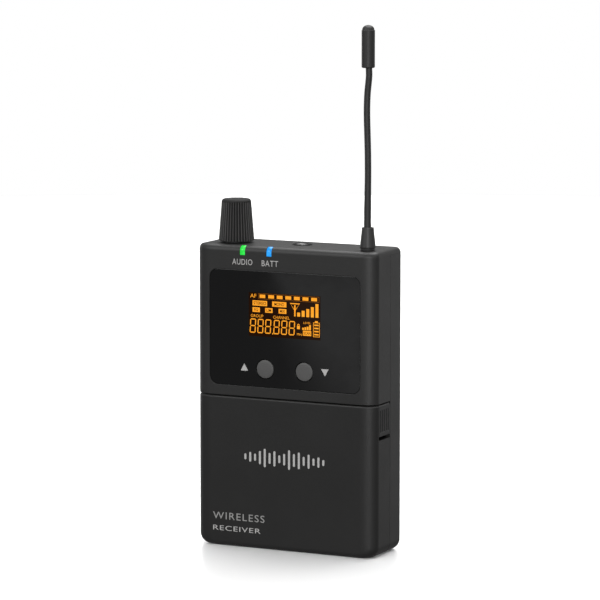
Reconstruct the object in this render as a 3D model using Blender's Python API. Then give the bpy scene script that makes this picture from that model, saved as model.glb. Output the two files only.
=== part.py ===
"""Belt-pack wireless receiver for in-ear monitors, as an assembly of separate pieces.

The pack stands on its short bottom edge. +Z is up and the display faces -Y. Lengths below
are in millimetres and become metres when a mesh is made. Positions are written in the case's
own frame: x = 0 and y = 0 in the middle of the case, z = 0 under it. The empty body_frame
moves that frame so that the world origin is at the bottom centre of the whole object,
belt clip included.
"""
import math

import bmesh
import bpy
from mathutils import Matrix, Vector

MM = 0.001

# Case
WIDTH = 63.0
DEPTH = 21.0
HEIGHT = 97.0
HALF_W = WIDTH / 2
FRONT_Y = -DEPTH / 2
BACK_Y = DEPTH / 2
FRONT_ROLL = (5.5, 3.5)
BACK_EDGE_R = 2.2
TOP_EDGE_R = 1.75
BOTTOM_CORNER_R = 3.5
BOTTOM_EDGE_R = 1.5
FRONT_WALL = 2.4
WALL = 1.6
TOP_WALL = 1.8
INNER_FRONT_Y = FRONT_Y + FRONT_WALL
INNER_BACK_Y = BACK_Y - WALL
INNER_TOP = HEIGHT - TOP_WALL
REACH = 60.0

# Splits between the three covers
DOOR_TOP = 48.35
FRONT_SHELL_BOTTOM = 49.0
FRONT_SPLIT_Y = 1.1
REAR_SPLIT_Y = 1.3
REAR_SHELL_TOP = 95.0

# Display
WINDOW_HALF_W = 26.6
WINDOW_Z = (52.1, 89.4)
WINDOW_CORNER_R = 3.0
WINDOW_FRONT_Y = FRONT_Y + 0.25
WINDOW_THICK = 1.0
LCD_Z = 75.4
LCD_GLASS = (28.0, 1.4, 16.0)
LCD_HOLE = (29.0, 17.0)

# Buttons
BUTTON_X = 6.87
BUTTON_Z = 58.05
BUTTON_R = 2.95
BUTTON_HOLE_R = 3.2
BUTTON_FLANGE_R = 3.7
BUTTON_TRAVEL = 0.5

# Lights
AUDIO_LED_X = -14.7
BATTERY_LED_X = -5.35
PIPE_WIDTH = 1.7
PIPE_Z = 94.1
PIPE_END_Y = -9.1

# Top fittings
KNOB_XY = (-21.1, -2.0)
KNOB_BOTTOM = 97.6
KNOB_TOP = 111.0
KNOB_BASE_R = 5.7
KNOB_TOP_R = 4.65
KNOB_FLUTES = 36
JACK_XY = (0.8, 0.9)
JACK_R = 3.1
JACK_TOP = HEIGHT + 0.35
JACK_BORE_R = 1.8
ANTENNA_XY = (26.4, -4.9)
BOOT_TOP = 104.3
FLEX_Z = 104.6
WHIP_R = 1.02
CAP_Z = (154.1, 167.4)
CAP_R = 2.08

# Board
BOARD_FRONT_Y = -5.0
BOARD_BACK_Y = -4.0
BOARD_HALF_W = 24.3

# Case screws
SCREW_X = 26.8
SCREW_Z = (54.0, 80.5)

# Battery bay
CELL_R = 7.1
CELL_Y = 0.6
UPPER_CELL_Z = 28.0
LOWER_CELL_Z = 12.6
CELL_PLUS_X = 26.9
CELL_MINUS_X = -22.3
NUB_LENGTH = 1.0
PLATE_X = (28.1, 28.5)
TRAY_HALF_W = 29.5

# Door hinge and side latches
HINGE_Y = 0.0
HINGE_Z = 1.2
HINGE_R = 1.1
LUG_X = (14.5, 19.5)
LATCH_Y = (-7.05, FRONT_SPLIT_Y)
LATCH_Z = (38.6, DOOR_TOP)
LATCH_PIVOT = (30.4, -7.0)

# Belt clip
CLIP_WIDTH = 20.0
CLIP_THICK = 0.9
CLIP_BEND = (13.35, 86.0)
CLIP_BEND_R = 2.3
CLIP_SCREW_X = 6.0
CLIP_SCREW_Z = 79.0

CLIP_OUTER_Y = CLIP_BEND[0] + CLIP_BEND_R + CLIP_THICK / 2
FRAME_SHIFT_Y = -(FRONT_Y + CLIP_OUTER_Y) / 2


# ---------------------------------------------------------------- shapes (bmesh, millimetres)

def arc(cx, cy, radius, start, end, steps, radius_y=None):
    """Points of a round or elliptical arc, angles in degrees, both ends included."""
    points = []
    for i in range(steps + 1):
        angle = math.radians(start + (end - start) * i / steps)
        points.append((cx + radius * math.cos(angle), cy + (radius_y or radius) * math.sin(angle)))
    return points


def rounded_rect(x0, x1, y0, y1, radius, steps=5):
    """Outline of a rectangle with four equal round corners."""
    return (arc(x0 + radius, y0 + radius, radius, 180, 270, steps)
            + arc(x1 - radius, y0 + radius, radius, 270, 360, steps)
            + arc(x1 - radius, y1 - radius, radius, 0, 90, steps)
            + arc(x0 + radius, y1 - radius, radius, 90, 180, steps))


def loft(rings):
    """Closed solid through rings that all have the same number of points."""
    bm = bmesh.new()
    rows = [[bm.verts.new(point) for point in ring] for ring in rings]
    for low, high in zip(rows, rows[1:]):
        for i in range(len(low)):
            j = (i + 1) % len(low)
            bm.faces.new((low[i], low[j], high[j], high[i]))
    bm.faces.new(list(reversed(rows[0])))
    bm.faces.new(rows[-1])
    bmesh.ops.recalc_face_normals(bm, faces=bm.faces)
    return bm


def box(x0, x1, y0, y1, z0, z1):
    """Block between two corners."""
    flat = [(x0, y0), (x1, y0), (x1, y1), (x0, y1)]
    return loft([[(x, y, z) for x, y in flat] for z in (z0, z1)])


def prism(outline, low, high, axis):
    """Outline extruded along an axis. It is (y, z) for X, (x, z) for Y and (x, y) for Z."""
    rings = []
    for level in (low, high):
        if axis == "X":
            rings.append([(level, u, v) for u, v in outline])
        elif axis == "Y":
            rings.append([(u, level, v) for u, v in outline])
        else:
            rings.append([(u, v, level) for u, v in outline])
    return loft(rings)


def cylinder(cu, cv, radius, low, high, axis, sides=24):
    """Round bar along an axis through (cu, cv)."""
    outline = arc(cu, cv, radius, 0, 360, sides)[:-1]
    return prism(outline, low, high, axis)


def turned(profile, cx, cy, sides=32):
    """Solid of revolution about the vertical through (cx, cy), from (radius, z) points."""
    rings = []
    for radius, z in profile:
        rings.append([(x, y, z) for x, y in arc(cx, cy, radius, 0, 360, sides)[:-1]])
    return loft(rings)


def strip(path, thickness, half_width):
    """Bent sheet across X, from the (y, z) points of its middle line."""
    left, right = [], []
    for i, (y, z) in enumerate(path):
        before = Vector(path[max(i - 1, 0)])
        after = Vector(path[min(i + 1, len(path) - 1)])
        along = (after - before).normalized()
        side = Vector((-along.y, along.x)) * thickness / 2
        left.append((y + side.x, z + side.y))
        right.append((y - side.x, z - side.y))
    return prism(left + right[::-1], -half_width, half_width, "X")


def together(*shapes):
    """Several shapes in one mesh."""
    whole = bmesh.new()
    for shape in shapes:
        scratch = bpy.data.meshes.new("scratch")
        shape.to_mesh(scratch)
        shape.free()
        whole.from_mesh(scratch)
        bpy.data.meshes.remove(scratch)
    return whole


def mirrored(make, *args):
    """A shape and its mirror image in the plane x = 0."""
    twin = make(*args)
    for vert in twin.verts:
        vert.co.x = -vert.co.x
    bmesh.ops.reverse_faces(twin, faces=twin.faces)
    return together(make(*args), twin)


def case_solid(side, front, back, z0, z1):
    """The case's outside, or its hollow when the walls are given, as a stack of outlines."""
    half_w = HALF_W - side
    roll_x, roll_y = (size - front for size in FRONT_ROLL)
    back_r = max(BACK_EDGE_R - back, 0.4)
    corner_r = BOTTOM_CORNER_R - side
    edge_r = max(BOTTOM_EDGE_R - side, 0.4)
    top_r = max(TOP_EDGE_R - side, 0.3)
    heights = [corner_r * (1 - math.cos(math.radians(a))) for a in (0, 14, 30, 46, 62, 76, 90)]
    heights.insert(4, edge_r)
    levels = []
    for h in sorted(heights):
        inset_x = corner_r - math.sqrt(max(corner_r ** 2 - (corner_r - h) ** 2, 0))
        inset_y = edge_r - math.sqrt(max(edge_r ** 2 - max(edge_r - h, 0) ** 2, 0))
        levels.append((z0 + h, inset_x, inset_y))
    for a in (0, 25, 45, 65, 90):
        inset = top_r * (1 - math.cos(math.radians(a)))
        levels.append((z1 - top_r + top_r * math.sin(math.radians(a)), inset, inset))
    rings = []
    for z, inset_x, inset_y in levels:
        w = half_w - inset_x
        near = FRONT_Y + front + inset_y
        far = BACK_Y - back - inset_y
        rx = roll_x - inset_y
        ry = roll_y - inset_y
        rb = max(back_r - inset_y, 0.3)
        outline = (arc(-w + rx, near + ry, rx, 180, 270, 7, ry) + arc(w - rx, near + ry, rx, 270, 360, 7, ry)
                   + arc(w - rb, far - rb, rb, 0, 90, 4) + arc(-w + rb, far - rb, rb, 90, 180, 4))
        rings.append([(x, y, z) for x, y in outline])
    return loft(rings)


# ---------------------------------------------------------------- objects

def material(name, colour, roughness, metallic=0.0):
    """Principled material with one colour, roughness and metallic value."""
    mat = bpy.data.materials.new(name)
    mat.use_nodes = True
    shader = mat.node_tree.nodes["Principled BSDF"]
    shader.inputs["Base Color"].default_value = (*colour, 1.0)
    shader.inputs["Roughness"].default_value = roughness
    shader.inputs["Metallic"].default_value = metallic
    mat.diffuse_color = (*colour, 1.0)
    return mat


def place(name, shape, mat, origin=(0.0, 0.0, 0.0), smooth=40.0):
    """Named object in the case's frame, with its origin on the given point."""
    shape.transform(Matrix.Translation([-value for value in origin]))
    shape.transform(Matrix.Scale(MM, 4))
    mesh = bpy.data.meshes.new(name)
    shape.to_mesh(mesh)
    shape.free()
    obj = bpy.data.objects.new(name, mesh)
    bpy.context.scene.collection.objects.link(obj)
    obj.location = [value * MM for value in origin]
    obj.parent = bpy.data.objects["body_frame"]
    if mat:
        mesh.materials.append(mat)
    mesh.shade_smooth()
    mesh.set_sharp_from_angle(angle=math.radians(smooth))
    return obj


def carve(obj, operation, shape):
    """Boolean with a hidden helper shape."""
    helper = place(obj.name + "_" + operation.lower() + "_%d" % len(obj.modifiers), shape, None)
    helper.display_type = "WIRE"
    helper.hide_render = True
    modifier = obj.modifiers.new(operation.title(), "BOOLEAN")
    modifier.operation = operation
    modifier.solver = "EXACT"
    modifier.object = helper


# ---------------------------------------------------------------- covers

def hollow_case(name, mat, region):
    """A piece of the hollow case: the part of its walls that lies in a region."""
    obj = place(name, case_solid(0, 0, 0, 0, HEIGHT), mat)
    carve(obj, "DIFFERENCE", case_solid(WALL, FRONT_WALL, WALL, WALL, INNER_TOP))
    carve(obj, "INTERSECT", region)
    return obj


def both_sides_cylinders(radius, zs, y0, y1, sides=20):
    """Bars along Y at the case screws' places."""
    bars = []
    for z in zs:
        for x in (-SCREW_X, SCREW_X):
            bars.append(cylinder(x, z, radius, y0, y1, "Y", sides))
    return together(*bars)


def pipe_slot(x):
    """Slot through the top front edge for one light pipe."""
    gap_y = PIPE_END_Y + 0.15
    outline = [(FRONT_Y - 0.5, PIPE_Z - 0.15), (-8.0, PIPE_Z - 0.15), (-8.0, 95.3), (gap_y, 95.3),
               (gap_y, HEIGHT + 0.5), (FRONT_Y - 0.5, HEIGHT + 0.5)]
    half = PIPE_WIDTH / 2 + 0.15
    return prism(outline, x - half, x + half, "X")


def front_shell(mat):
    """Front cover with the whole top wall, the window's recess and the screw bosses."""
    region = [(-REACH, FRONT_SHELL_BOTTOM), (FRONT_SPLIT_Y, FRONT_SHELL_BOTTOM),
              (FRONT_SPLIT_Y, INNER_TOP), (REACH, INNER_TOP), (REACH, HEIGHT + 10), (-REACH, HEIGHT + 10)]
    obj = hollow_case("front_shell", mat, prism(region, -REACH, REACH, "X"))
    carve(obj, "UNION", both_sides_cylinders(2.0, SCREW_Z, INNER_FRONT_Y - 0.6, 6.8))
    pocket = rounded_rect(-WINDOW_HALF_W, WINDOW_HALF_W, *WINDOW_Z, WINDOW_CORNER_R)
    carve(obj, "DIFFERENCE", prism(pocket, FRONT_Y - 1, FRONT_Y + 1.3, "Y"))
    lcd_w, lcd_h = LCD_HOLE
    jack_x, jack_y = JACK_XY
    openings = together(
        box(-lcd_w / 2, lcd_w / 2, FRONT_Y, INNER_FRONT_Y + 1, LCD_Z - lcd_h / 2, LCD_Z + lcd_h / 2),
        cylinder(-BUTTON_X, BUTTON_Z, BUTTON_HOLE_R, FRONT_Y, INNER_FRONT_Y + 1, "Y"),
        cylinder(BUTTON_X, BUTTON_Z, BUTTON_HOLE_R, FRONT_Y, INNER_FRONT_Y + 1, "Y"),
        cylinder(*KNOB_XY, 3.3, INNER_TOP - 1, HEIGHT + 1, "Z"),
        cylinder(jack_x, jack_y, JACK_R + 0.15, INNER_TOP - 1, HEIGHT + 1, "Z"),
        cylinder(*ANTENNA_XY, 1.95, INNER_TOP - 1, HEIGHT + 1, "Z"),
        pipe_slot(AUDIO_LED_X),
        pipe_slot(BATTERY_LED_X))
    carve(obj, "DIFFERENCE", openings)
    carve(obj, "DIFFERENCE", both_sides_cylinders(1.15, SCREW_Z, -4.2, 8, 16))


def rear_shell(mat):
    """Rear cover with the door's hinge lugs, the latch grooves and the screw seats."""
    obj = hollow_case("rear_shell", mat, box(-REACH, REACH, REAR_SPLIT_Y, REACH, -1, REAR_SHELL_TOP))
    seats = together(
        both_sides_cylinders(3.0, SCREW_Z, 7.1, INNER_BACK_Y + 0.6, 24),
        cylinder(-CLIP_SCREW_X, CLIP_SCREW_Z, 2.4, 7.4, INNER_BACK_Y + 0.6, "Y"),
        cylinder(CLIP_SCREW_X, CLIP_SCREW_Z, 2.4, 7.4, INNER_BACK_Y + 0.6, "Y"))
    carve(obj, "UNION", seats)
    carve(obj, "UNION", mirrored(box, LUG_X[0], LUG_X[1], 0.75, 2.2, 0.35, 1.5))
    carve(obj, "UNION", mirrored(cylinder, HINGE_Y, HINGE_Z, HINGE_R - 0.05, *LUG_X, "X"))
    holes = together(
        both_sides_cylinders(1.25, SCREW_Z, 6.5, BACK_Y + 1, 16),
        cylinder(-CLIP_SCREW_X, CLIP_SCREW_Z, 1.1, 6.5, BACK_Y + 1, "Y", 16),
        cylinder(CLIP_SCREW_X, CLIP_SCREW_Z, 1.1, 6.5, BACK_Y + 1, "Y", 16),
        mirrored(cylinder, HINGE_Y, HINGE_Z, 0.6, 10, 24, "X", 12),
        mirrored(box, 29.0, 30.6, REAR_SPLIT_Y - 1, 3.5, 40.0, 47.7))
    carve(obj, "DIFFERENCE", holes)
    carve(obj, "DIFFERENCE", both_sides_cylinders(2.3, SCREW_Z, 8.4, BACK_Y + 1))


def battery_door(mat):
    """Front lower cover. Its rear bottom edge is rolled about the hinge axis."""
    region = ([(-REACH, DOOR_TOP), (-REACH, -1), (HINGE_Y, -1)]
              + arc(HINGE_Y, HINGE_Z, HINGE_R, -90, 0, 4)
              + [(FRONT_SPLIT_Y, HINGE_Z), (FRONT_SPLIT_Y, DOOR_TOP)])
    obj = hollow_case("battery_door", mat, prism(region, -REACH, REACH, "X"))
    obj.data.transform(Matrix.Translation((0, -HINGE_Y * MM, -HINGE_Z * MM)))
    obj.location = (0, HINGE_Y * MM, HINGE_Z * MM)
    carve(obj, "UNION", cylinder(HINGE_Y, HINGE_Z, HINGE_R, -26, 26, "X"))
    front_gap = 0.3
    cuts = together(
        mirrored(box, LUG_X[0] - 0.3, LUG_X[1] + 0.3, -1.5, 3, -1, 3),
        mirrored(box, 27, 33, LATCH_Y[0] - front_gap, 3, LATCH_Z[0] - 1.2, DOOR_TOP + 1))
    carve(obj, "DIFFERENCE", cuts)
    carve(obj, "DIFFERENCE", mirrored(cylinder, HINGE_Y, HINGE_Z, 0.6, 9.5, 24.5, "X", 12))


def latch(name, side, mat):
    """Ribbed side button cut from the door's wall, with the arm that reaches behind the seam."""
    pivot_x, pivot_y = LATCH_PIVOT
    obj = place(name, case_solid(0, 0, 0, 0, HEIGHT), mat, (side * pivot_x, pivot_y, LATCH_Z[0]))
    carve(obj, "DIFFERENCE", case_solid(WALL, FRONT_WALL, WALL, WALL, INNER_TOP))

    def across(x0, x1, y0, y1, z0, z1):
        return box(min(side * x0, side * x1), max(side * x0, side * x1), y0, y1, z0, z1)

    carve(obj, "INTERSECT", across(27, 33, *LATCH_Y, *LATCH_Z))
    carve(obj, "UNION", across(28.8, 30.1, -3.0, 0.9, 41.0, 46.5))
    carve(obj, "UNION", across(28.8, 29.7, 0.4, 3.2, 41.0, 46.5))
    carve(obj, "UNION", across(29.2, 30.3, 2.2, 3.1, 42.0, 45.5))
    grooves = [across(HALF_W - 0.4, HALF_W + 1, y - 0.4, y + 0.4, 39.8, 47.4) for y in (-4.0, -2.2, -0.4)]
    carve(obj, "DIFFERENCE", together(*grooves))


def hinge_pins(mat):
    """The two pins that the door turns on."""
    for name, side in (("hinge_pin_left", -1), ("hinge_pin_right", 1)):
        low, high = sorted((side * 10.5, side * 23.5))
        place(name, cylinder(HINGE_Y, HINGE_Z, 0.45, low, high, "X", 12), mat)


# ---------------------------------------------------------------- display, buttons and lights

def display(window_mat, glass_mat, frame_mat, light_mat, ribbon_mat):
    """Window, liquid crystal glass, its frame, the light plate behind and the flat cable."""
    outline = rounded_rect(-WINDOW_HALF_W + 0.15, WINDOW_HALF_W - 0.15, WINDOW_Z[0] + 0.15,
                           WINDOW_Z[1] - 0.15, WINDOW_CORNER_R - 0.15)
    window_back = WINDOW_FRONT_Y + WINDOW_THICK
    window = place("display_window", prism(outline, WINDOW_FRONT_Y, window_back, "Y"), window_mat)
    carve(window, "DIFFERENCE", mirrored(cylinder, BUTTON_X, BUTTON_Z, BUTTON_HOLE_R,
                                         FRONT_Y - 1, window_back + 1, "Y"))
    glass_w, glass_t, glass_h = LCD_GLASS
    z0 = LCD_Z - glass_h / 2
    z1 = LCD_Z + glass_h / 2
    glass_y = window_back + 0.2
    place("lcd_glass", box(-glass_w / 2, glass_w / 2, glass_y, glass_y + glass_t, z0, z1), glass_mat)
    frame = place("lcd_frame", box(-16.5, 16.5, -7.9, -5.3, LCD_Z - 10.5, LCD_Z + 10.5), frame_mat)
    carve(frame, "DIFFERENCE", box(-14.2, 14.2, -10, -3, z0 - 0.2, z1 + 0.2))
    place("backlight_plate", box(-13.8, 13.8, -7.4, -5.4, z0 + 0.2, z1 - 0.2), light_mat)
    path = [(-7.2, 64.6), (-7.2, 63.8), (-6.9, 63.4), (-5.7, 63.2), (-5.3, 62.8), (-5.3, 61.9)]
    place("lcd_ribbon", strip(path, 0.2, 8.0), ribbon_mat)


def buttons(cap_mat, switch_mat):
    """Two round push buttons and the switches that they press."""
    for name, side in (("up", -1), ("down", 1)):
        x = side * BUTTON_X
        cap = place(name + "_button", cylinder(x, BUTTON_Z, BUTTON_R, FRONT_Y + 0.05, -7.6, "Y", 32),
                    cap_mat, (x, FRONT_Y + 0.05, BUTTON_Z))
        carve(cap, "UNION", cylinder(x, BUTTON_Z, BUTTON_FLANGE_R, -7.95, -7.45, "Y", 32))
        body = box(x - 2.6, x + 2.6, -6.4, BOARD_FRONT_Y - 0.1, BUTTON_Z - 2.6, BUTTON_Z + 2.6)
        switch = place(name + "_switch", body, switch_mat)
        carve(switch, "UNION", cylinder(x, BUTTON_Z, 1.1, -7.45 + BUTTON_TRAVEL + 0.05, -6.0, "Y", 16))


def lights(mats):
    """Light pipes that wrap the top front edge, each with its light on the board."""
    corner_y = FRONT_Y + TOP_EDGE_R
    corner_z = HEIGHT - TOP_EDGE_R
    end_angle = math.degrees(math.acos((PIPE_END_Y - corner_y) / TOP_EDGE_R))
    for name, x in (("audio", AUDIO_LED_X), ("battery", BATTERY_LED_X)):
        outline = ([(FRONT_Y, PIPE_Z)] + arc(corner_y, corner_z, TOP_EDGE_R, 180, end_angle, 5)
                   + [(PIPE_END_Y, 95.0), (-6.3, 95.0), (-6.3, 92.6), (-7.3, 92.6), (-7.3, PIPE_Z)])
        half = PIPE_WIDTH / 2
        place(name + "_light_pipe", prism(outline, x - half, x + half, "X"), mats[name])
        led = box(x - 0.8, x + 0.8, -6.1, BOARD_FRONT_Y - 0.1, 92.4, 93.9)
        place(name + "_led", led, mats[name])


# ---------------------------------------------------------------- electronics

def electronics(board_mat, shield_mat, chip_mat):
    """Main board with shoulders beside the volume control and the aerial, and what it carries."""
    outline = [(-BOARD_HALF_W, 50.6), (BOARD_HALF_W, 50.6), (BOARD_HALF_W, 86.0), (20.0, 86.0),
               (20.0, 94.0), (-15.8, 94.0), (-15.8, 87.5), (-BOARD_HALF_W, 87.5)]
    place("main_board", prism(outline, BOARD_FRONT_Y, BOARD_BACK_Y, "Y"), board_mat)
    seat = BOARD_BACK_Y + 0.15
    place("rf_shield", box(6.0, 22.0, seat, -1.0, 60.0, 80.0), shield_mat)
    place("processor_chip", box(-20.0, -8.0, seat, -2.5, 64.0, 76.0), chip_mat)
    place("audio_chip", box(-15.0, -8.0, seat, -2.6, 82.0, 87.0), chip_mat)
    place("crystal_can", box(-4.5, 1.5, seat, -1.6, 68.0, 72.0), shield_mat)
    divider = rounded_rect(-29.5, 29.5, -7.9, 8.7, 3.0, 4)
    place("bay_divider", prism(divider, 49.2, 50.2, "Z"), chip_mat)


# ---------------------------------------------------------------- volume control

def volume_control(body_mat, metal_mat, knob_mat):
    """Potentiometer under the top wall, its nut, its shaft and the fluted knob."""
    x, y = KNOB_XY
    pot = place("volume_pot", box(x - 4.8, x + 4.8, y - 4.6, y + 4.6, 89.2, INNER_TOP - 0.2), body_mat)
    carve(pot, "UNION", cylinder(x, y, 3.0, INNER_TOP - 1, 98.9, "Z"))
    carve(pot, "DIFFERENCE", cylinder(x, y, 1.75, 91.7, 100, "Z", 20))
    nut = place("pot_nut", cylinder(x, y, 3.9, HEIGHT + 0.1, 98.5, "Z", 6), metal_mat)
    carve(nut, "DIFFERENCE", cylinder(x, y, 3.15, HEIGHT - 1, 100, "Z"))
    axis = (x, y, HEIGHT)
    place("pot_shaft", cylinder(x, y, 1.5, 92.0, 108.0, "Z", 20), metal_mat, axis)
    place_knob(knob_mat, axis)


def place_knob(mat, axis):
    """Tapered knob with shallow flutes below a smooth round-edged top."""
    x, y, _ = axis
    band = KNOB_TOP - 1.1

    def radius_at(z):
        return KNOB_BASE_R + (KNOB_TOP_R - KNOB_BASE_R) * (z - KNOB_BOTTOM) / (KNOB_TOP - KNOB_BOTTOM)

    def ring(z, radius, depth):
        points = []
        for i in range(2 * KNOB_FLUTES):
            angle = math.pi * i / KNOB_FLUTES
            r = radius - depth * (i % 2)
            points.append((x + r * math.cos(angle), y + r * math.sin(angle), z))
        return points

    rings = [ring(KNOB_BOTTOM, radius_at(KNOB_BOTTOM), 0.35), ring(band - 0.3, radius_at(band), 0.35),
             ring(band, radius_at(band), 0.0), ring(KNOB_TOP - 0.5, radius_at(KNOB_TOP), 0.0),
             ring(KNOB_TOP - 0.15, KNOB_TOP_R - 0.2, 0.0), ring(KNOB_TOP, KNOB_TOP_R - 0.6, 0.0)]
    knob = place("volume_knob", loft(rings), mat, axis, 30.0)
    carve(knob, "DIFFERENCE", turned([(4.6, 97.0), (4.5, 100.5), (1.65, 100.5), (1.65, 108.3)], x, y, 32))


# ---------------------------------------------------------------- phones socket and aerial

def phones_socket(body_mat, chrome_mat):
    """Stereo 3.5 mm socket with a bright sleeve."""
    x, y = JACK_XY
    jack = place("phones_jack", box(x - 4.0, x + 4.0, y - 3.4, y + 3.9, 79.0, INNER_TOP - 0.2), body_mat)
    carve(jack, "UNION", cylinder(x, y, JACK_R, INNER_TOP - 1, JACK_TOP, "Z", 32))
    carve(jack, "DIFFERENCE", cylinder(x, y, 2.2, 80.5, 100, "Z"))
    sleeve = place("jack_sleeve", cylinder(x, y, 2.1, 80.8, HEIGHT + 0.15, "Z"), chrome_mat)
    carve(sleeve, "DIFFERENCE", cylinder(x, y, JACK_BORE_R, 80, 100, "Z"))


def aerial(rubber_mat, metal_mat):
    """Rubber foot, the contact under it, the flexible whip and its end cap."""
    x, y = ANTENNA_XY
    foot = [(1.7, 94.7), (1.7, 97.15), (2.2, 97.15), (2.3, 97.6), (2.45, 98.0), (2.4, 98.4),
            (2.2, 100.2), (1.85, BOOT_TOP - 0.3), (1.6, BOOT_TOP)]
    place("antenna_boot", turned(foot, x, y, 24), rubber_mat)
    contact = [(1.2, 88.0), (1.2, 93.2), (2.4, 93.2), (2.4, 94.4)]
    place("antenna_contact", turned(contact, x, y, 20), metal_mat)
    axis = (x, y, FLEX_Z)
    whip_levels = [104.7 + 60.0 * i / 12 for i in range(13)]
    place("antenna_whip", turned([(WHIP_R, z) for z in whip_levels], x, y, 16), rubber_mat, axis)
    low, high = CAP_Z
    profile = [(CAP_R, low), (CAP_R, high - 1.6), (CAP_R - 0.15, high - 1.55), (1.55, high - 0.75),
               (1.0, high - 0.25), (0.4, high)]
    cap = place("antenna_cap", turned(profile, x, y, 24), rubber_mat, axis)
    carve(cap, "DIFFERENCE", cylinder(x, y, 1.2, low - 1, high - 2.1, "Z", 16))


# ---------------------------------------------------------------- battery bay

def cell(name, z, side, mat):
    """One AA cell lying across the case, its plus end towards the given side."""
    place(name, cylinder(CELL_Y, z, CELL_R, *sorted((side * CELL_PLUS_X, side * CELL_MINUS_X)), "X", 32), mat)
    low, high = sorted((side * (CELL_PLUS_X - 0.5), side * (CELL_PLUS_X + NUB_LENGTH)))
    carve(bpy.data.objects[name], "UNION", cylinder(CELL_Y, z, 2.75, low, high, "X", 24))


def contact_spring(name, z, side, mat):
    """Conical coil between a contact plate and a cell's minus end."""
    wire_r = 0.35
    turns = 3.5
    start = PLATE_X[0] - 0.15 - wire_r
    end = -CELL_MINUS_X + 0.15 + wire_r
    steps = 46
    curve = bpy.data.curves.new(name, "CURVE")
    curve.dimensions = "3D"
    curve.bevel_depth = wire_r * MM
    curve.bevel_resolution = 1
    curve.render_resolution_u = 0
    curve.use_fill_caps = True
    spline = curve.splines.new("POLY")
    spline.points.add(steps)
    for i in range(steps + 1):
        t = i / steps
        angle = 2 * math.pi * turns * t
        radius = 3.6 - 1.7 * t
        x = side * (start + (end - start) * t)
        point = (x, CELL_Y + radius * math.cos(angle), z + radius * math.sin(angle))
        spline.points[i].co = (*[value * MM for value in point], 1.0)
    curve.materials.append(mat)
    obj = bpy.data.objects.new(name, curve)
    bpy.context.scene.collection.objects.link(obj)
    obj.parent = bpy.data.objects["body_frame"]


def battery_bay(tray_mat, cell_mat, metal_mat):
    """Tray, two cells in series, their contact plates and springs."""
    w = TRAY_HALF_W
    tray = place("battery_tray", box(-w, w, -3.5, 8.6, 3.9, 36.4), tray_mat)
    carve(tray, "DIFFERENCE", box(-w + 0.8, w - 0.8, -5, 8.0, 4.7, 35.6))
    carve(tray, "UNION", box(-w + 0.4, w - 0.4, 5.2, 8.2, 19.9, 20.7))
    cell("battery_upper", UPPER_CELL_Z, 1, cell_mat)
    cell("battery_lower", LOWER_CELL_Z, -1, cell_mat)
    inner, outer = PLATE_X
    place("link_plate", box(-outer, -inner, -3.4, 4.6, 7.0, 33.6), metal_mat)
    place("positive_plate", box(inner, outer, -3.4, 4.6, 22.4, 33.6), metal_mat)
    place("negative_plate", box(inner, outer, -3.4, 4.6, 7.0, 18.2), metal_mat)
    contact_spring("upper_spring", UPPER_CELL_Z, -1, metal_mat)
    contact_spring("lower_spring", LOWER_CELL_Z, 1, metal_mat)


# ---------------------------------------------------------------- fasteners and clip

def case_screws(mat):
    """Four screws from the back into the front shell's bosses."""
    for i, (side, z) in enumerate(((-1, SCREW_Z[0]), (1, SCREW_Z[0]), (-1, SCREW_Z[1]), (1, SCREW_Z[1]))):
        x = side * SCREW_X
        screw = place("case_screw_%d" % (i + 1), cylinder(x, z, 2.0, 8.55, 9.9, "Y", 24), mat)
        carve(screw, "UNION", cylinder(x, z, 0.95, -3.6, 9.0, "Y", 12))
        carve(screw, "DIFFERENCE", cylinder(x, z, 1.0, 9.2, 11, "Y", 6))


def belt_clip(mat, screw_mat):
    """Spring steel clip: the root screwed to the case and the leaf that opens about the bend."""
    bend_y, bend_z = CLIP_BEND
    half = CLIP_WIDTH / 2
    root_y = bend_y - CLIP_BEND_R
    leaf_y = bend_y + CLIP_BEND_R
    root = [(root_y, 74.0)] + arc(bend_y, bend_z, CLIP_BEND_R, 180, 96, 7)
    base = place("clip_base", strip(root, CLIP_THICK, half), mat)
    carve(base, "DIFFERENCE", mirrored(cylinder, CLIP_SCREW_X, CLIP_SCREW_Z, 1.25,
                                       root_y - 2, root_y + 2, "Y", 20))
    leaf = (arc(bend_y, bend_z, CLIP_BEND_R, 82, 0, 7) + [(leaf_y, 64.0), (leaf_y, 42.5), (15.45, 41.6)]
            + [(12.95, 38.2), (12.75, 37.4), (12.95, 36.6), (14.2, 33.5)])
    place("clip_leaf", strip(leaf, CLIP_THICK, half), mat, (0, bend_y, bend_z))
    head_y = root_y + CLIP_THICK / 2 + 0.1
    for name, side in (("clip_screw_left", -1), ("clip_screw_right", 1)):
        x = side * CLIP_SCREW_X
        screw = place(name, cylinder(x, CLIP_SCREW_Z, 2.2, head_y, head_y + 1.1, "Y", 24), screw_mat)
        carve(screw, "UNION", cylinder(x, CLIP_SCREW_Z, 0.95, 7.0, head_y + 0.5, "Y", 12))
        carve(screw, "DIFFERENCE", cylinder(x, CLIP_SCREW_Z, 1.0, head_y + 0.4, head_y + 3, "Y", 6))


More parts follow.
